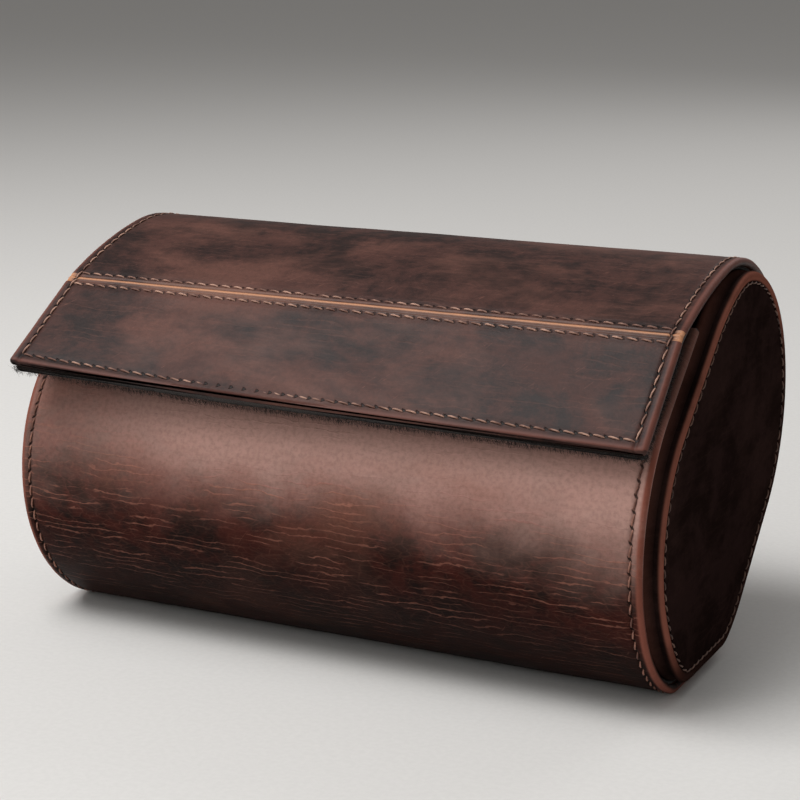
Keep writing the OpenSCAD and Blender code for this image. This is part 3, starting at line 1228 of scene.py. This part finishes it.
@dataclass(frozen=True)
class Wrap:
    """Everything cut from the wrap: tray, hinge, lid, crease and flap, with linings and stitches."""

    roll: Roll
    finish: Finishes
    lining_inset: float = 1.2 * MM
    lining_drop: float = 1.0 * MM
    lining_column: float = 4 * MM
    lining_step: float = 2 * MM
    hinge_step: float = 0.7 * MM
    crease_step: float = 0.2 * MM
    first_hole: int = 1

    @cached_property
    def relief(self) -> Relief:
        """Heights of the leather's outer face."""
        return Relief(self.roll)

    @cached_property
    def skin(self) -> Sheet:
        """The leather, with a pocket for the board."""
        roll = self.roll
        pocket = roll.lining_out + roll.board
        return Sheet(self.relief, roll.lining_out, roll.wall_out, roll.half, pocket, flat=False)

    @cached_property
    def cloth(self) -> Sheet:
        """The lining."""
        roll, half = self.roll, self.roll.half - self.lining_inset
        return Sheet(self.relief, roll.rim_fit, roll.lining_out, half, column=self.lining_column)

    @cached_property
    def back(self) -> Bend:
        """The bend between tray and lid."""
        return self.bend(Body.TRAY, Body.LID, 0.0, self.roll.hinge_marks)

    @cached_property
    def fold(self) -> Bend:
        """The bend between lid and flap."""
        return self.bend(Body.LID, Body.FLAP, self.roll.half, self.roll.crease_marks)

    def bend(self, first: Body, second: Body, x: float, marks: tuple[float, float]) -> Bend:
        """The bend between two marks of the path.

        Args:
            first: The body before it.
            second: The body after it.
            x: Place along the roll of its two points.
            marks: Distances along the path.

        Returns:
            The bend.
        """
        start, end = (self.roll.surface(x, mark, self.roll.wall_out).tolist() for mark in marks)
        return Bend(first, second, tuple(start), tuple(end))

    def fold_wear(self, x: Array, along: Array) -> Array:
        """Wear along the fold and at its two ends."""
        ends = smooth((np.abs(x) - self.roll.half + 2.6 * MM) / (1.4 * MM))
        return np.maximum(hump(along - self.roll.marks[5], 0.32 * MM), 0.7 * ends)

    def sheets(self) -> None:
        """Makes the leather and linings, from the front wall's top to the flap's turned-in edge."""
        skin, cloth = self.skin.make, self.cloth.make
        finish, lining = self.finish, self.finish[Slot.LINING]
        low, high = self.roll.hinge_marks
        first, last = self.roll.crease_marks
        made = skin("wrap_skin", 0.0, low, round_start=True)
        settle(made, finish[Slot.WRAP], Body.TRAY, Slot.WRAP, "wrap_leather")
        made = cloth("wrap_suede", self.lining_drop, low, self.lining_step, round_start=True)
        settle(made, lining, Body.TRAY, Slot.LINING, "wrap_lining")
        made = skin("hinge_skin", low, high, self.hinge_step)
        settle(made, finish[Slot.WRAP], self.back, Slot.WRAP, "back_hinge")
        settle(cloth("hinge_suede", low, high, self.hinge_step), lining, self.back, Slot.LINING)
        settle(skin("lid_skin", high, first), finish[Slot.LID], Body.LID, Slot.LID, "lid_leather")
        made = cloth("lid_suede", high, first, self.lining_step)
        settle(made, lining, Body.LID, Slot.LINING, "lid_lining")
        made = skin("crease_skin", first, last, self.crease_step, rub=self.fold_wear)
        settle(made, finish[Slot.CREASE], self.fold, Slot.CREASE, "flap_crease")
        made = skin("flap_skin", last, self.roll.marks[6], round_end=True)
        settle(made, finish[Slot.LID], Body.FLAP, Slot.LID, "flap_leather")

    def on_face(self, x: Array, along: Array, height: Array) -> Array:
        """Points over the wrap's outer face, in the seams' grooves."""
        base = self.roll.wall_out + self.relief.swell(x, along) - 0.5 * self.roll.seam_groove
        return self.roll.surface(x, along, base + height)

    def end_rows(self, side: Side) -> None:
        """Sews the row along one end, in one piece for each body or bend."""
        roll, pitch = self.roll, self.roll.stitch
        end = roll.marks[6] - roll.seam_inset
        stops = [self.first_hole]
        for low, high in (roll.hinge_marks, roll.crease_marks):
            stops += [math.floor(low / pitch), math.ceil(high / pitch)]
        stops.append(math.floor(end / pitch))
        rows = [
            ("tray", Body.TRAY, Tone.DARK),
            ("hinge", self.back, Tone.DARK),
            ("lid", Body.LID, Tone.LIGHT),
            ("crease", self.fold, Tone.LIGHT),
            ("flap", Body.FLAP, Tone.LIGHT),
        ]
        x = side.value * roll.end_row
        for (part, on, tone), low, high in zip(rows, stops, stops[1:]):
            holes = [(x, k * pitch) for k in range(low, high + 1)]
            if part == "flap":
                holes[-1] = (x, end)
            made = Seam().sew(f"stitches_{part}_{side.name.lower()}", self.on_face, holes)
            settle(made, self.finish[tone], on)

    def stitches(self) -> None:
        """Sews the rows along both ends, the front wall's top, the crease and the flap's edge."""
        for side in Side:
            self.end_rows(side)
        parts = ("front_top", "lid_edge", "flap_top", "flap_edge")
        bodies = (Body.TRAY, Body.LID, Body.FLAP, Body.FLAP)
        reach = self.roll.end_row
        count = round(2 * reach / self.roll.stitch)
        for part, body, line in zip(parts, bodies, self.relief.seam_lines):
            holes = [(-reach + 2 * reach * k / count, line) for k in range(count + 1)]
            settle(Seam().sew(f"stitches_{part}", self.on_face, holes), self.finish[Tone.LIGHT], body)


# ---- end panels, dividers and felt ----


@dataclass(frozen=True)
class Disc:
    """A flat piece with the oval's outline, lofted through rings from one middle to the other."""

    roll: Roll
    points: int = 300
    # Height in millimetres from which a panel's rim keeps its worn tone as a painted highlight, and the
    # width of that change.
    high_start: float = 62.0
    high_width: float = 20.0

    @property
    def turn(self) -> Array:
        """Places of the points round the oval, from 0 to 1."""
        return np.arange(self.points) / self.points

    def loft(self, name: str, profile: Sequence[tuple[float, ...]]) -> Piece:
        """Makes a disc.

        Args:
            name: The object's name.
            profile: For each ring its X, its distance inside the oval, its scale towards the oval's
                middle and, if it has any, its wear.

        Returns:
            The new object, with its own coordinates and its worn tone, kept mostly where the light falls as
            a painted highlight, stored on it.
        """
        x, inset, share, wear_and_painted_light = np.array([(*row, 0.0)[:4] for row in profile]).T[..., None]
        flat = self.roll.oval(self.turn, -(inset + self.roll.drawn(self.turn, x)))
        middle = (self.roll.front_centre + self.roll.back_centre) / 2
        rings = in_space(x, middle + (flat - middle) * share[..., None])
        made = Maker.loft(name, rings)
        Maker.store(made, "skin", rings.reshape(-1, 3)[:, [1, 2, 0]])
        # Painted highlight: the rim's worn tone is kept mostly where the rim faces the upper front or lies
        # high, where light falls on it.
        height = self.roll.oval(self.turn, 0.0)[:, 1] / MM
        high = smooth((height - self.high_start) / self.high_width)
        highlight_share = 0.15 + 0.85 * np.maximum(self.roll.frontness(self.turn), 0.8 * high)
        Maker.store(made, "wear_and_painted_light", (wear_and_painted_light * highlight_share).ravel())
        return made


@dataclass(frozen=True)
class EndPanel:
    """An end panel: leather turned over a board with a rolled rim, and suede on its inner side.

    The tables of its leather have rows in millimetres: distance inside the oval, distance from the
    outer or the inner face, and wear.
    """

    roll: Roll
    side: Side
    finish: Finishes
    face: float = 83.7 * MM
    inner: float = 78.6 * MM
    rim: float = 1.25 * MM
    seam: float = 2.75 * MM
    sunk: float = 0.3 * MM
    suede: float = 0.6 * MM
    thread: float = 0.36 * MM
    face_rows: tuple[tuple[float, float, float], ...] = (
        (6.0, 0.35, 0), (5.2, 0.33, 0), (4.5, 0.3, 0), (3.9, 0.28, 0), (3.4, 0.27, 0),
        (3.1, 0.32, 0), (2.85, 0.42, 0), (2.65, 0.44, 0), (2.45, 0.36, 0.1), (2.2, 0.26, 0.5),
    )
    back_rows: tuple[tuple[float, float, float], ...] = (
        (3.0, 0.0, 0), (2.3, 0.0, 0), (1.2, 0.0, 0), (0.8, 0.0, 0), (0.4, 0.1, 0.1),
        (0.12, 0.4, 0.2), (0.0, 0.9, 0.3), (0.0, 1.6, 0.3),
    )

    @property
    def name(self) -> str:
        """The side in small letters."""
        return self.side.name.lower()

    @property
    def count(self) -> int:
        """Number of stitches round the rim."""
        return round(self.roll.girth / self.roll.stitch)

    def mirrored(self, rows: Sequence[tuple[float, ...]]) -> list[tuple[float, ...]]:
        """Rows of a profile on the panel's own side of the roll."""
        return [(self.side.value * x, *rest) for x, *rest in rows]

    def profile(self) -> list[tuple[float, ...]]:
        """Rings from the middle of the outer face, over the rolled rim, to the recess for the board."""
        low = self.face - 0.15 * MM
        dome = [(low - 0.2 * MM * s * s, 6 * MM, s, 0.0) for s in np.linspace(0.06, 0.96, 14)]
        face = [(self.face - off * MM, d * MM, 1.0, w) for d, off, w in self.face_rows]
        rim = [
            (self.face - self.rim * (1 - math.sin(a)), self.rim * (1 - math.cos(a)), 1.0, smooth(a / 0.9))
            for a in np.radians(np.linspace(122, 0, 14))
        ]
        back = [(self.inner + off * MM, d * MM, 1.0, w) for d, off, w in self.back_rows]
        recess = self.face - 1.3 * MM
        return dome + face + rim + back + [(recess, 1.2 * MM, 1.0, 0.0), (recess, 6 * MM, 0.5, 0.0)]

    def on_face(self, along: Array, across: Array, height: Array) -> Array:
        """Points over the panel's face, in its seam."""
        x = self.side.value * (self.face - self.sunk + height)
        turn = along / self.roll.girth
        return in_space(x, self.roll.oval(turn, -(self.seam + across + self.roll.drawn(turn, x))))

    def cover(self) -> None:
        """Makes the leather, with the places of its stitches for the finish to read."""
        disc, rows = Disc(self.roll), self.mirrored(self.profile())
        made = disc.loft(f"{self.name}_panel_skin", rows)
        across = np.repeat([d - self.seam + 1 - s for _, d, s, _ in rows], disc.points)
        along = np.tile(disc.turn * self.count * self.roll.stitch, len(rows))
        Maker.store(made, "row", np.stack([across, along, 0 * across], -1))
        settle(made, self.finish[Slot.PANEL], Body.TRAY, Slot.PANEL, f"{self.name}_end_cover")

    def inside(self) -> None:
        """Makes the suede and the board."""
        low, high, edge = self.inner - 0.02 * MM, self.inner + self.suede, 1.25 * MM
        rows = [
            (low, 8 * MM, 0.2), (low, 6 * MM, 1), (low, 2 * MM, 1), (low + 0.05 * MM, 1.5 * MM, 1),
            (low + 0.2 * MM, edge, 1), (high, edge, 1), (high, 6 * MM, 1), (high, 8 * MM, 0.2),
        ]
        made = Disc(self.roll).loft(f"{self.name}_panel_suede", self.mirrored(rows))
        settle(made, self.finish[Slot.LINING], Body.TRAY, Slot.LINING, f"{self.name}_end_lining")
        low, high, edge = high, self.face - 1.35 * MM, 1.3 * MM
        rows = [(low, 8 * MM, 0.2), (low, edge, 1), (high, edge, 1), (high, 8 * MM, 0.2)]
        made = Disc(self.roll).loft(f"{self.name}_panel_board", self.mirrored(rows))
        settle(made, self.finish[Slot.BOARD], Body.TRAY, Slot.BOARD, f"{self.name}_end_board")

    def build(self) -> None:
        """Makes the panel's leather, suede, board and stitches."""
        self.cover()
        self.inside()
        holes = [(k * self.roll.girth / self.count, 0.0) for k in range(self.count + 1)]
        made = Seam(thread=self.thread).sew(f"stitches_{self.name}_panel", self.on_face, holes)
        settle(made, self.finish[Tone.PANEL], Body.TRAY)


@dataclass(frozen=True)
class Divider:
    """A divider: two sides of suede on a board, joined by a groove round the rim.

    The table has rows of distance from the middle and inside the oval, in millimetres, and scale.
    """

    roll: Roll
    number: int
    finish: Finishes
    points: int = 220
    rim: tuple[tuple[float, float, float], ...] = (
        (1.6, 12, 0.1), (1.6, 12, 0.5), (1.6, 12, 1), (1.6, 3, 1), (1.58, 1.6, 1), (1.5, 1.0, 1),
        (1.34, 0.55, 1), (1.05, 0.22, 1), (0.7, 0.05, 1), (0.4, 0.06, 1), (0.18, 0.25, 1), (0.0, 0.42, 1),
    )

    def build(self) -> None:
        """Makes the divider's suede."""
        middle = (self.number - 1.5) * self.roll.slot_pitch
        half = [(x * MM, d * MM, s) for x, d, s in self.rim]
        rows = [(middle - x, d, s) for x, d, s in half] + [(middle + x, d, s) for x, d, s in half[-2::-1]]
        made = Disc(self.roll, self.points).loft(f"divider_{self.number}_suede", rows)
        settle(made, self.finish[Slot.LINING], Body.TRAY, Slot.LINING, f"divider_{self.number}_cover")


@dataclass(frozen=True)
class FlapInside:
    """What the flap hides: felt with a fuzzy edge, its board and its magnets, all twisted with it."""

    roll: Roll
    finish: Finishes
    droop: float = 0.7 * MM
    felt_edge: float = 0.15 * MM
    hem: float = 8 * MM
    board_drop: float = 5 * MM
    board_step: float = 3 * MM
    lower_fibres: int = 5200
    side_fibres: int = 900
    fibre: float = 0.028 * MM
    magnet_drop: float = 11.8 * MM
    magnet_place: float = 48 * MM
    magnet_radius: float = 4.0 * MM
    magnet_bevel: tuple[float, float] = (0.15 * MM, 0.12 * MM)

    @property
    def half(self) -> float:
        """Half of the felt's length."""
        return self.roll.half - self.roll.felt_inset

    @property
    def low(self) -> float:
        """The felt's inner face, outside the panels' rim."""
        return self.roll.lining_out - self.roll.felt - self.droop

    @property
    def top(self) -> float:
        """Place along the wrap at which the felt starts."""
        return self.roll.crease_marks[1]

    @property
    def edge(self) -> float:
        """Place along the wrap at which the felt ends."""
        return self.roll.marks[6] - self.felt_edge

    def fuzz(self) -> None:
        """Makes short bent fibres round the felt's cut edges."""
        rng = np.random.RandomState(23)
        lower, side = self.lower_fibres, self.side_fibres
        count = lower + 2 * side
        x = np.repeat([0.0, -self.half, self.half], [lower, side, side])
        x[:lower] = rng.uniform(-self.half, self.half, lower)
        along = np.full(count, self.edge)
        along[lower:] = rng.uniform(self.top, self.edge, 2 * side)
        out = rng.uniform(self.low + 0.05 * MM, self.roll.lining_out - 0.1 * MM, count)
        push = np.stack([np.sign(x), np.ones(count), np.zeros(count)], -1)
        push[:lower, 0] = rng.normal(0, 0.5, lower)
        push[lower:, 1] = rng.normal(0, 0.5, 2 * side)
        push[:, 2] = rng.normal(-0.25, 0.6, count)
        bend = rng.normal(0, 0.5, (count, 3))
        reach = rng.uniform(0.2, 0.85, count)[:, None, None] * MM
        t = np.linspace(-0.35, 1, 4)[None, :, None]
        path = (push[:, None] * t + bend[:, None] * t**2) * reach
        start = np.stack([x, along, out], -1)[:, None]
        centre = self.roll.surface(*np.moveaxis(start + path, -1, 0))
        angle = circle(3)
        spoke = np.stack([np.cos(angle), np.sin(angle), np.sin(angle + 1.2)], -1)
        wide = self.fibre * (1.15 - t[..., None])
        made = Maker.tubes("flap_felt_fuzz", centre[:, :, None] + spoke * wide)
        settle(made, self.finish[Slot.FELT], Body.FLAP)

    def build(self) -> None:
        """Makes the felt, its fibres, the board and the magnets."""
        roll, relief = self.roll, Relief(self.roll)
        felt = Sheet(relief, self.low, roll.lining_out, self.half)
        made = felt.make("flap_felt_pad", self.top, self.edge, round_end=True)
        settle(made, self.finish[Slot.FELT], Body.FLAP, Slot.FELT, "flap_felt")
        self.fuzz()
        high = roll.lining_out + roll.board
        board = Sheet(relief, roll.lining_out, high, roll.half - self.hem, column=self.board_step)
        start, end = roll.crease_marks[1] + self.board_drop, roll.marks[6] - self.hem
        made = board.make("flap_stiffener", start, end, self.board_step)
        settle(made, self.finish[Slot.BOARD], Body.FLAP, Slot.BOARD, "flap_board")
        self.magnets(roll.lining_out, high)

    def magnets(self, low: float, high: float) -> None:
        """Makes the flap's two magnets, between two distances outside the panels' rim."""
        angle = circle(48)
        narrower, lower = self.magnet_bevel
        radius = self.magnet_radius - np.array([narrower, 0, 0, narrower])[:, None]
        out = np.array([low, low + lower, high - lower, high])[:, None]
        along = self.roll.marks[5] + self.magnet_drop + radius * np.sin(angle)
        place = self.magnet_place
        rings = [self.roll.surface(x + radius * np.cos(angle), along, out) for x in (-place, place)]
        made = Maker.tubes("flap_magnet_pair", np.stack(rings))
        settle(made, self.finish[Slot.MAGNET], Body.FLAP, Slot.MAGNET, "flap_magnets")


# ---- cushions ----


@dataclass(frozen=True)
class Loop:
    """The closed line of a cushion's seam."""

    line: Array

    @cached_property
    def run(self) -> Array:
        """Distance along the line at each of its points, from the first round to the first again."""
        return np.concatenate([[0], np.cumsum(np.linalg.norm(np.diff(self.line, axis=0), axis=1))])

    def place(self, along: Array, across: Array, height: Array) -> Array:
        """Points over the cushion's skin, beside its seam."""
        foot = [np.interp(along % self.run[-1], self.run, self.line[:, k]) for k in range(3)]
        foot = np.stack(foot, -1)
        out = unit((foot - self.line[:-1].mean(0)) * np.array([0, 1, 1]))
        return foot + out * height[..., None] + np.array([1.0, 0, 0]) * across[..., None]

    def holes(self, pitch: float) -> list[tuple[float, float]]:
        """Places of the stitches' holes all round the line."""
        count = round(self.run[-1] / pitch)
        return [(k * self.run[-1] / count, 0.0) for k in range(count + 1)]


@dataclass(frozen=True)
class Cushion:
    """A watch cushion: a suede tube drawn in at two seams, with swollen ends, puffed by simulation."""

    roll: Roll
    finish: Finishes
    width: float = 47.87 * MM
    radius: float = 27 * MM
    rise: float = 14 * MM
    draw: float = 3.2 * MM
    crown: float = 2.6 * MM
    slack: float = 1.3 * MM
    lean: float = -20.0
    seat: tuple[float, float] = (6 * MM, 29.8 * MM)
    around: int = 72
    tube_steps: int = 21
    cap_steps: int = 8
    sim_frames: int = 20
    pressure: float = 4.0
    wave: float = 0.35 * MM
    thread_rise: float = 0.2 * MM

    def profile(self) -> Array:
        """Rows of X and share of the full section, from one end's middle to the other's."""
        draw = self.draw / self.radius
        edge = self.width / 2 - self.crown
        tube = [(u * edge, 1 - draw * abs(u) ** 5) for u in np.linspace(-1, 1, self.tube_steps)]
        caps = np.linspace(0.12, 1, self.cap_steps)
        cap = [(edge + self.crown * 0.75 * (1 - v * v), (1 - draw) * v) for v in caps]
        return np.array([(-x, s) for x, s in cap] + tube[1:-1] + cap[::-1])

    def rings(self) -> Array:
        """Points of the cushion's form before it swells, shaped (rings, points, 3)."""
        angle = circle(self.around)
        x, share = self.profile().T[..., None]
        reach = (self.radius - self.slack) * share
        rise = np.clip(np.sin(angle) * 6, -1, 1) * self.rise / 2
        flat = np.stack([reach * np.cos(angle), reach * np.sin(angle) + rise * share], -1)
        return in_space(x, flat)

    def blown(self, rings: Array) -> Array:
        """Blows the cover up as cloth under pressure, held at its seams.

        Args:
            rings: Points of the cover's rings, shaped (rings, points, 3).

        Returns:
            The points after the simulation, in the same shape.
        """
        made = Maker.loft("cushion_cloth", rings)
        seams = (self.cap_steps - 1, len(rings) - self.cap_steps)
        held = made.vertex_groups.new(name="held")
        held.add([row * self.around + k for row in seams for k in range(self.around)], 1.0, "REPLACE")
        cloth = made.modifiers.new("cloth", "CLOTH").settings
        cloth.quality = 8
        cloth.vertex_group_mass = "held"
        cloth.use_pressure = True
        cloth.uniform_pressure_force = self.pressure
        cloth.effector_weights.gravity = 0.0
        cloth.shrink_min = -0.05
        scene = bpy.context.scene
        for number in range(1, self.sim_frames + 1):
            scene.frame_set(number)
        swollen = made.evaluated_get(bpy.context.evaluated_depsgraph_get())
        points = np.array([v.co for v in swollen.data.vertices]).reshape(rings.shape)
        scene.frame_set(1)
        bpy.data.objects.remove(made)
        return points

    @cached_property
    def form(self) -> Array:
        """Points of the swollen rings, made once for all the cushions, shaped (rings, points, 3)."""
        rings = self.rings()
        move = self.blown(rings) - rings
        length = np.linalg.norm(move, axis=-1, keepdims=True)
        most = 1.6 * self.slack
        points = rings + move * np.minimum(1, most / np.maximum(length, 1e-9))
        log.info("cushion swells by %.1f mm, %.1f mm at most is kept", length.max() / MM, most / MM)
        points[..., 0] = np.clip(points[..., 0], -self.width / 2, self.width / 2)
        return points

    def placed(self, number: int) -> Array:
        """The cushion's points in its slot, each cushion a little different."""
        soft = Ripple(40 + number, (19 * MM, 15 * MM), 2)
        flat = self.form.reshape(-1, 3)
        turn = np.arctan2(flat[:, 2], flat[:, 1]) * self.radius
        wave = self.wave * (soft(turn, flat[:, 0]) - 0.9)
        flat = flat + unit(flat * np.array([0.3, 1, 1])) * wave[:, None]
        arm = flat[:, 1:] + np.array([0, self.rise / 2])
        x = flat[:, 0] + (number - 2) * self.roll.slot_pitch
        place = in_space(x, turned(arm, math.radians(self.lean)) + np.array(self.seat))
        return place.reshape(self.form.shape)

    def build(self, number: int) -> None:
        """Makes one cushion with its seams, in a slot counted from 1."""
        rings = self.placed(number)
        coarse = Maker.loft(f"cushion_{number}_cage", rings)
        coarse.modifiers.new("smooth", "SUBSURF").levels = 1
        finer = coarse.evaluated_get(bpy.context.evaluated_depsgraph_get())
        mesh = bpy.data.meshes.new_from_object(finer)
        bpy.data.objects.remove(coarse)
        mesh.shade_smooth()
        made = Maker.link(f"cushion_{number}_pad", mesh)
        body = Body(f"cushion_{number}")
        nodes = (f"{body.value}_cover", f"{body.value}_core")
        settle(made, self.finish[Slot.CUSHION], body, Slot.CUSHION, *nodes)
        for side, row in zip(Side, (self.cap_steps, len(rings) - self.cap_steps - 1)):
            loop = Loop(np.concatenate([rings[row], rings[row][:1]]))
            name = f"stitches_cushion_{number}_{side.name.lower()}"
            made = Seam(rise=self.thread_rise).sew(name, loop.place, loop.holes(self.roll.stitch))
            settle(made, self.finish[Tone.DARK], body)


# ---- the studio ----


@dataclass(frozen=True)
class Lamp:
    """A soft square lamp."""

    name: str
    place: tuple[float, float, float]
    size: float
    watts: float

    def make(self, target: Vector) -> None:
        """Hangs the lamp, turned towards a point."""
        light = bpy.data.lights.new(self.name, "AREA")
        light.size = self.size
        light.energy = self.watts
        made = Maker.link(self.name, light)
        made.location = self.place
        made.rotation_euler = (target - Vector(self.place)).to_track_quat("-Z", "Y").to_euler()


@dataclass(frozen=True)
class Studio:
    """Camera, lamps, floor and backdrop."""

    eye: tuple[float, float, float] = (0.2191, -0.42952, 0.17416)
    azimuth: float = 26.63
    elevation: float = 13.66
    lens: float = 91.4
    floor_radius: float = 4.0
    floor_middle: float = 0.2
    target: tuple[float, float, float] = (0.0, 0.01, 0.05)
    daylight: tuple[float, float, float, float] = (1.0, 0.98, 0.96, 1.0)
    daylight_strength: float = 0.22
    backdrop: Shade = (224, 222, 219)
    paint: Plain = Plain("floor_paint", (226, 224, 221), (222, 220, 217), 0.9)
    lamps: tuple[Lamp, ...] = (
        Lamp("key", (-0.35, -0.3, 1.0), 0.7, 10.0),
        Lamp("fill", (-0.9, -1.2, 0.75), 0.8, 4.0),
        Lamp("rim", (0.2, 1.1, 0.8), 0.7, 2.5),
    )

    def camera(self) -> None:
        """Sets the camera at the photograph's viewing angle."""
        made = Maker.link("camera", bpy.data.cameras.new("camera"))
        made.data.lens = self.lens
        a, e = math.radians(self.azimuth), math.radians(self.elevation)
        ahead = Vector((-math.sin(a) * math.cos(e), math.cos(a) * math.cos(e), -math.sin(e)))
        made.location = self.eye
        made.rotation_euler = ahead.to_track_quat("-Z", "Y").to_euler()
        bpy.context.scene.camera = made

    def floor(self) -> None:
        """Lays a wide pale floor."""
        angle = circle(96)
        radii = (self.floor_radius, self.floor_radius / 2, self.floor_middle)
        rings = [np.stack([r * np.cos(angle), r * np.sin(angle), 0 * angle], -1) for r in radii]
        quads, caps = Maker.tube_faces((1, len(rings), len(angle)))
        made = Maker.piece("floor", np.stack(rings), [*quads.tolist(), caps[-1]])
        self.paint.dress(made)

    def world(self) -> None:
        """Lights the room evenly and shows a pale backdrop."""
        world = bpy.data.worlds.new("room")
        world.use_nodes = True
        bpy.context.scene.world = world
        tree = world.node_tree
        room = tree.nodes["Background"]
        room.inputs[0].default_value = self.daylight
        room.inputs[1].default_value = self.daylight_strength
        backdrop = tree.nodes.new("ShaderNodeBackground")
        backdrop.inputs[0].default_value = linear(self.backdrop)
        path = tree.nodes.new("ShaderNodeLightPath")
        mix = tree.nodes.new("ShaderNodeMixShader")
        tree.links.new(path.outputs["Is Camera Ray"], mix.inputs[0])
        tree.links.new(room.outputs[0], mix.inputs[1])
        tree.links.new(backdrop.outputs[0], mix.inputs[2])
        tree.links.new(mix.outputs[0], tree.nodes["World Output"].inputs[0])

    def build(self) -> None:
        """Sets up the studio."""
        self.camera()
        self.floor()
        self.world()
        for lamp in self.lamps:
            lamp.make(Vector(self.target))
        bpy.context.scene.view_settings.view_transform = "Standard"


# ---- the roll's finishes, and its building ----


def finishes(roll: Roll) -> Finishes:
    """Makes the finish of each material slot and of each tone of thread."""
    lid = Leather(
        "lid_leather_finish", roll, (32, 18, 16), (70, 42, 36), (122, 80, 68), (112, 68, 58),
        creases=0.3, scuffs=0.7, gloss=0.17,
    )
    wrap = Leather(
        "wrap_leather_finish", roll, (22, 9, 6), (84, 33, 24), (172, 114, 96), (136, 80, 66),
        creases=0.8, scuffs=0.15, gloss=0.06, coat=0.01, behind=lid,
    )
    crease = Leather(
        "crease_leather_finish", roll, (58, 34, 27), (98, 62, 50), (136, 94, 76), (196, 138, 100),
        creases=0.2, scuffs=0.2,
    )
    # The panel's leather is near-black: partly its own tone, partly painted shade for a face turned from the
    # light; its worn rim tone is partly a painted highlight.
    panel = Leather(
        "panel_leather_finish", roll, (28, 19, 17), (42, 29, 27), (58, 41, 37), (136, 84, 70),
        creases=0.3, scuffs=0.3, gloss=0.0, coat=0.0,
    )
    return {
        Slot.WRAP: wrap,
        Slot.LID: lid,
        Slot.CREASE: crease,
        Slot.PANEL: panel,
        Slot.LINING: Suede("lining_suede_finish", (22, 18, 17), (44, 37, 34)),
        Slot.CUSHION: Suede("cushion_suede_finish", (74, 58, 47), (112, 92, 77), nap=1200),
        Slot.FELT: Suede("felt_finish", (14, 9, 7), (36, 26, 21), nap=2600),
        Slot.BOARD: Plain("board_finish", (168, 146, 112), (140, 118, 88), rough=0.85),
        Slot.MAGNET: Plain("magnet_finish", (176, 177, 180), (150, 151, 155), rough=0.3, metal=1.0),
        Tone.DARK: Thread(Tone.DARK.value, (96, 58, 46), (156, 108, 90)),
        Tone.LIGHT: Thread(Tone.LIGHT.value, (110, 74, 61), (190, 148, 128)),
        Tone.PANEL: Thread(Tone.PANEL.value, (70, 46, 38), (124, 92, 78)),
    }


def dress_nodes(finish: Finishes) -> None:
    """Puts finishes on the boards and magnets that are kept from the model."""
    for name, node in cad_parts.items():
        if name.endswith("board"):
            finish[Slot.BOARD].dress(node)
        elif name.endswith("magnets"):
            finish[Slot.MAGNET].dress(node)


def main() -> None:
    """Builds the studio and every part of the roll."""
    logging.basicConfig(level=logging.INFO, format="%(message)s")
    Studio().build()
    roll = Roll()
    finish = finishes(roll)
    dress_nodes(finish)
    wrap = Wrap(roll, finish)
    wrap.sheets()
    wrap.stitches()
    FlapInside(roll, finish).build()
    for side in Side:
        EndPanel(roll, side, finish).build()
    for number in (1, 2):
        Divider(roll, number, finish).build()
    cushion = Cushion(roll, finish)
    for number in (1, 2, 3):
        cushion.build(number)


if __name__ == "__main__":
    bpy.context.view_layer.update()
    main()
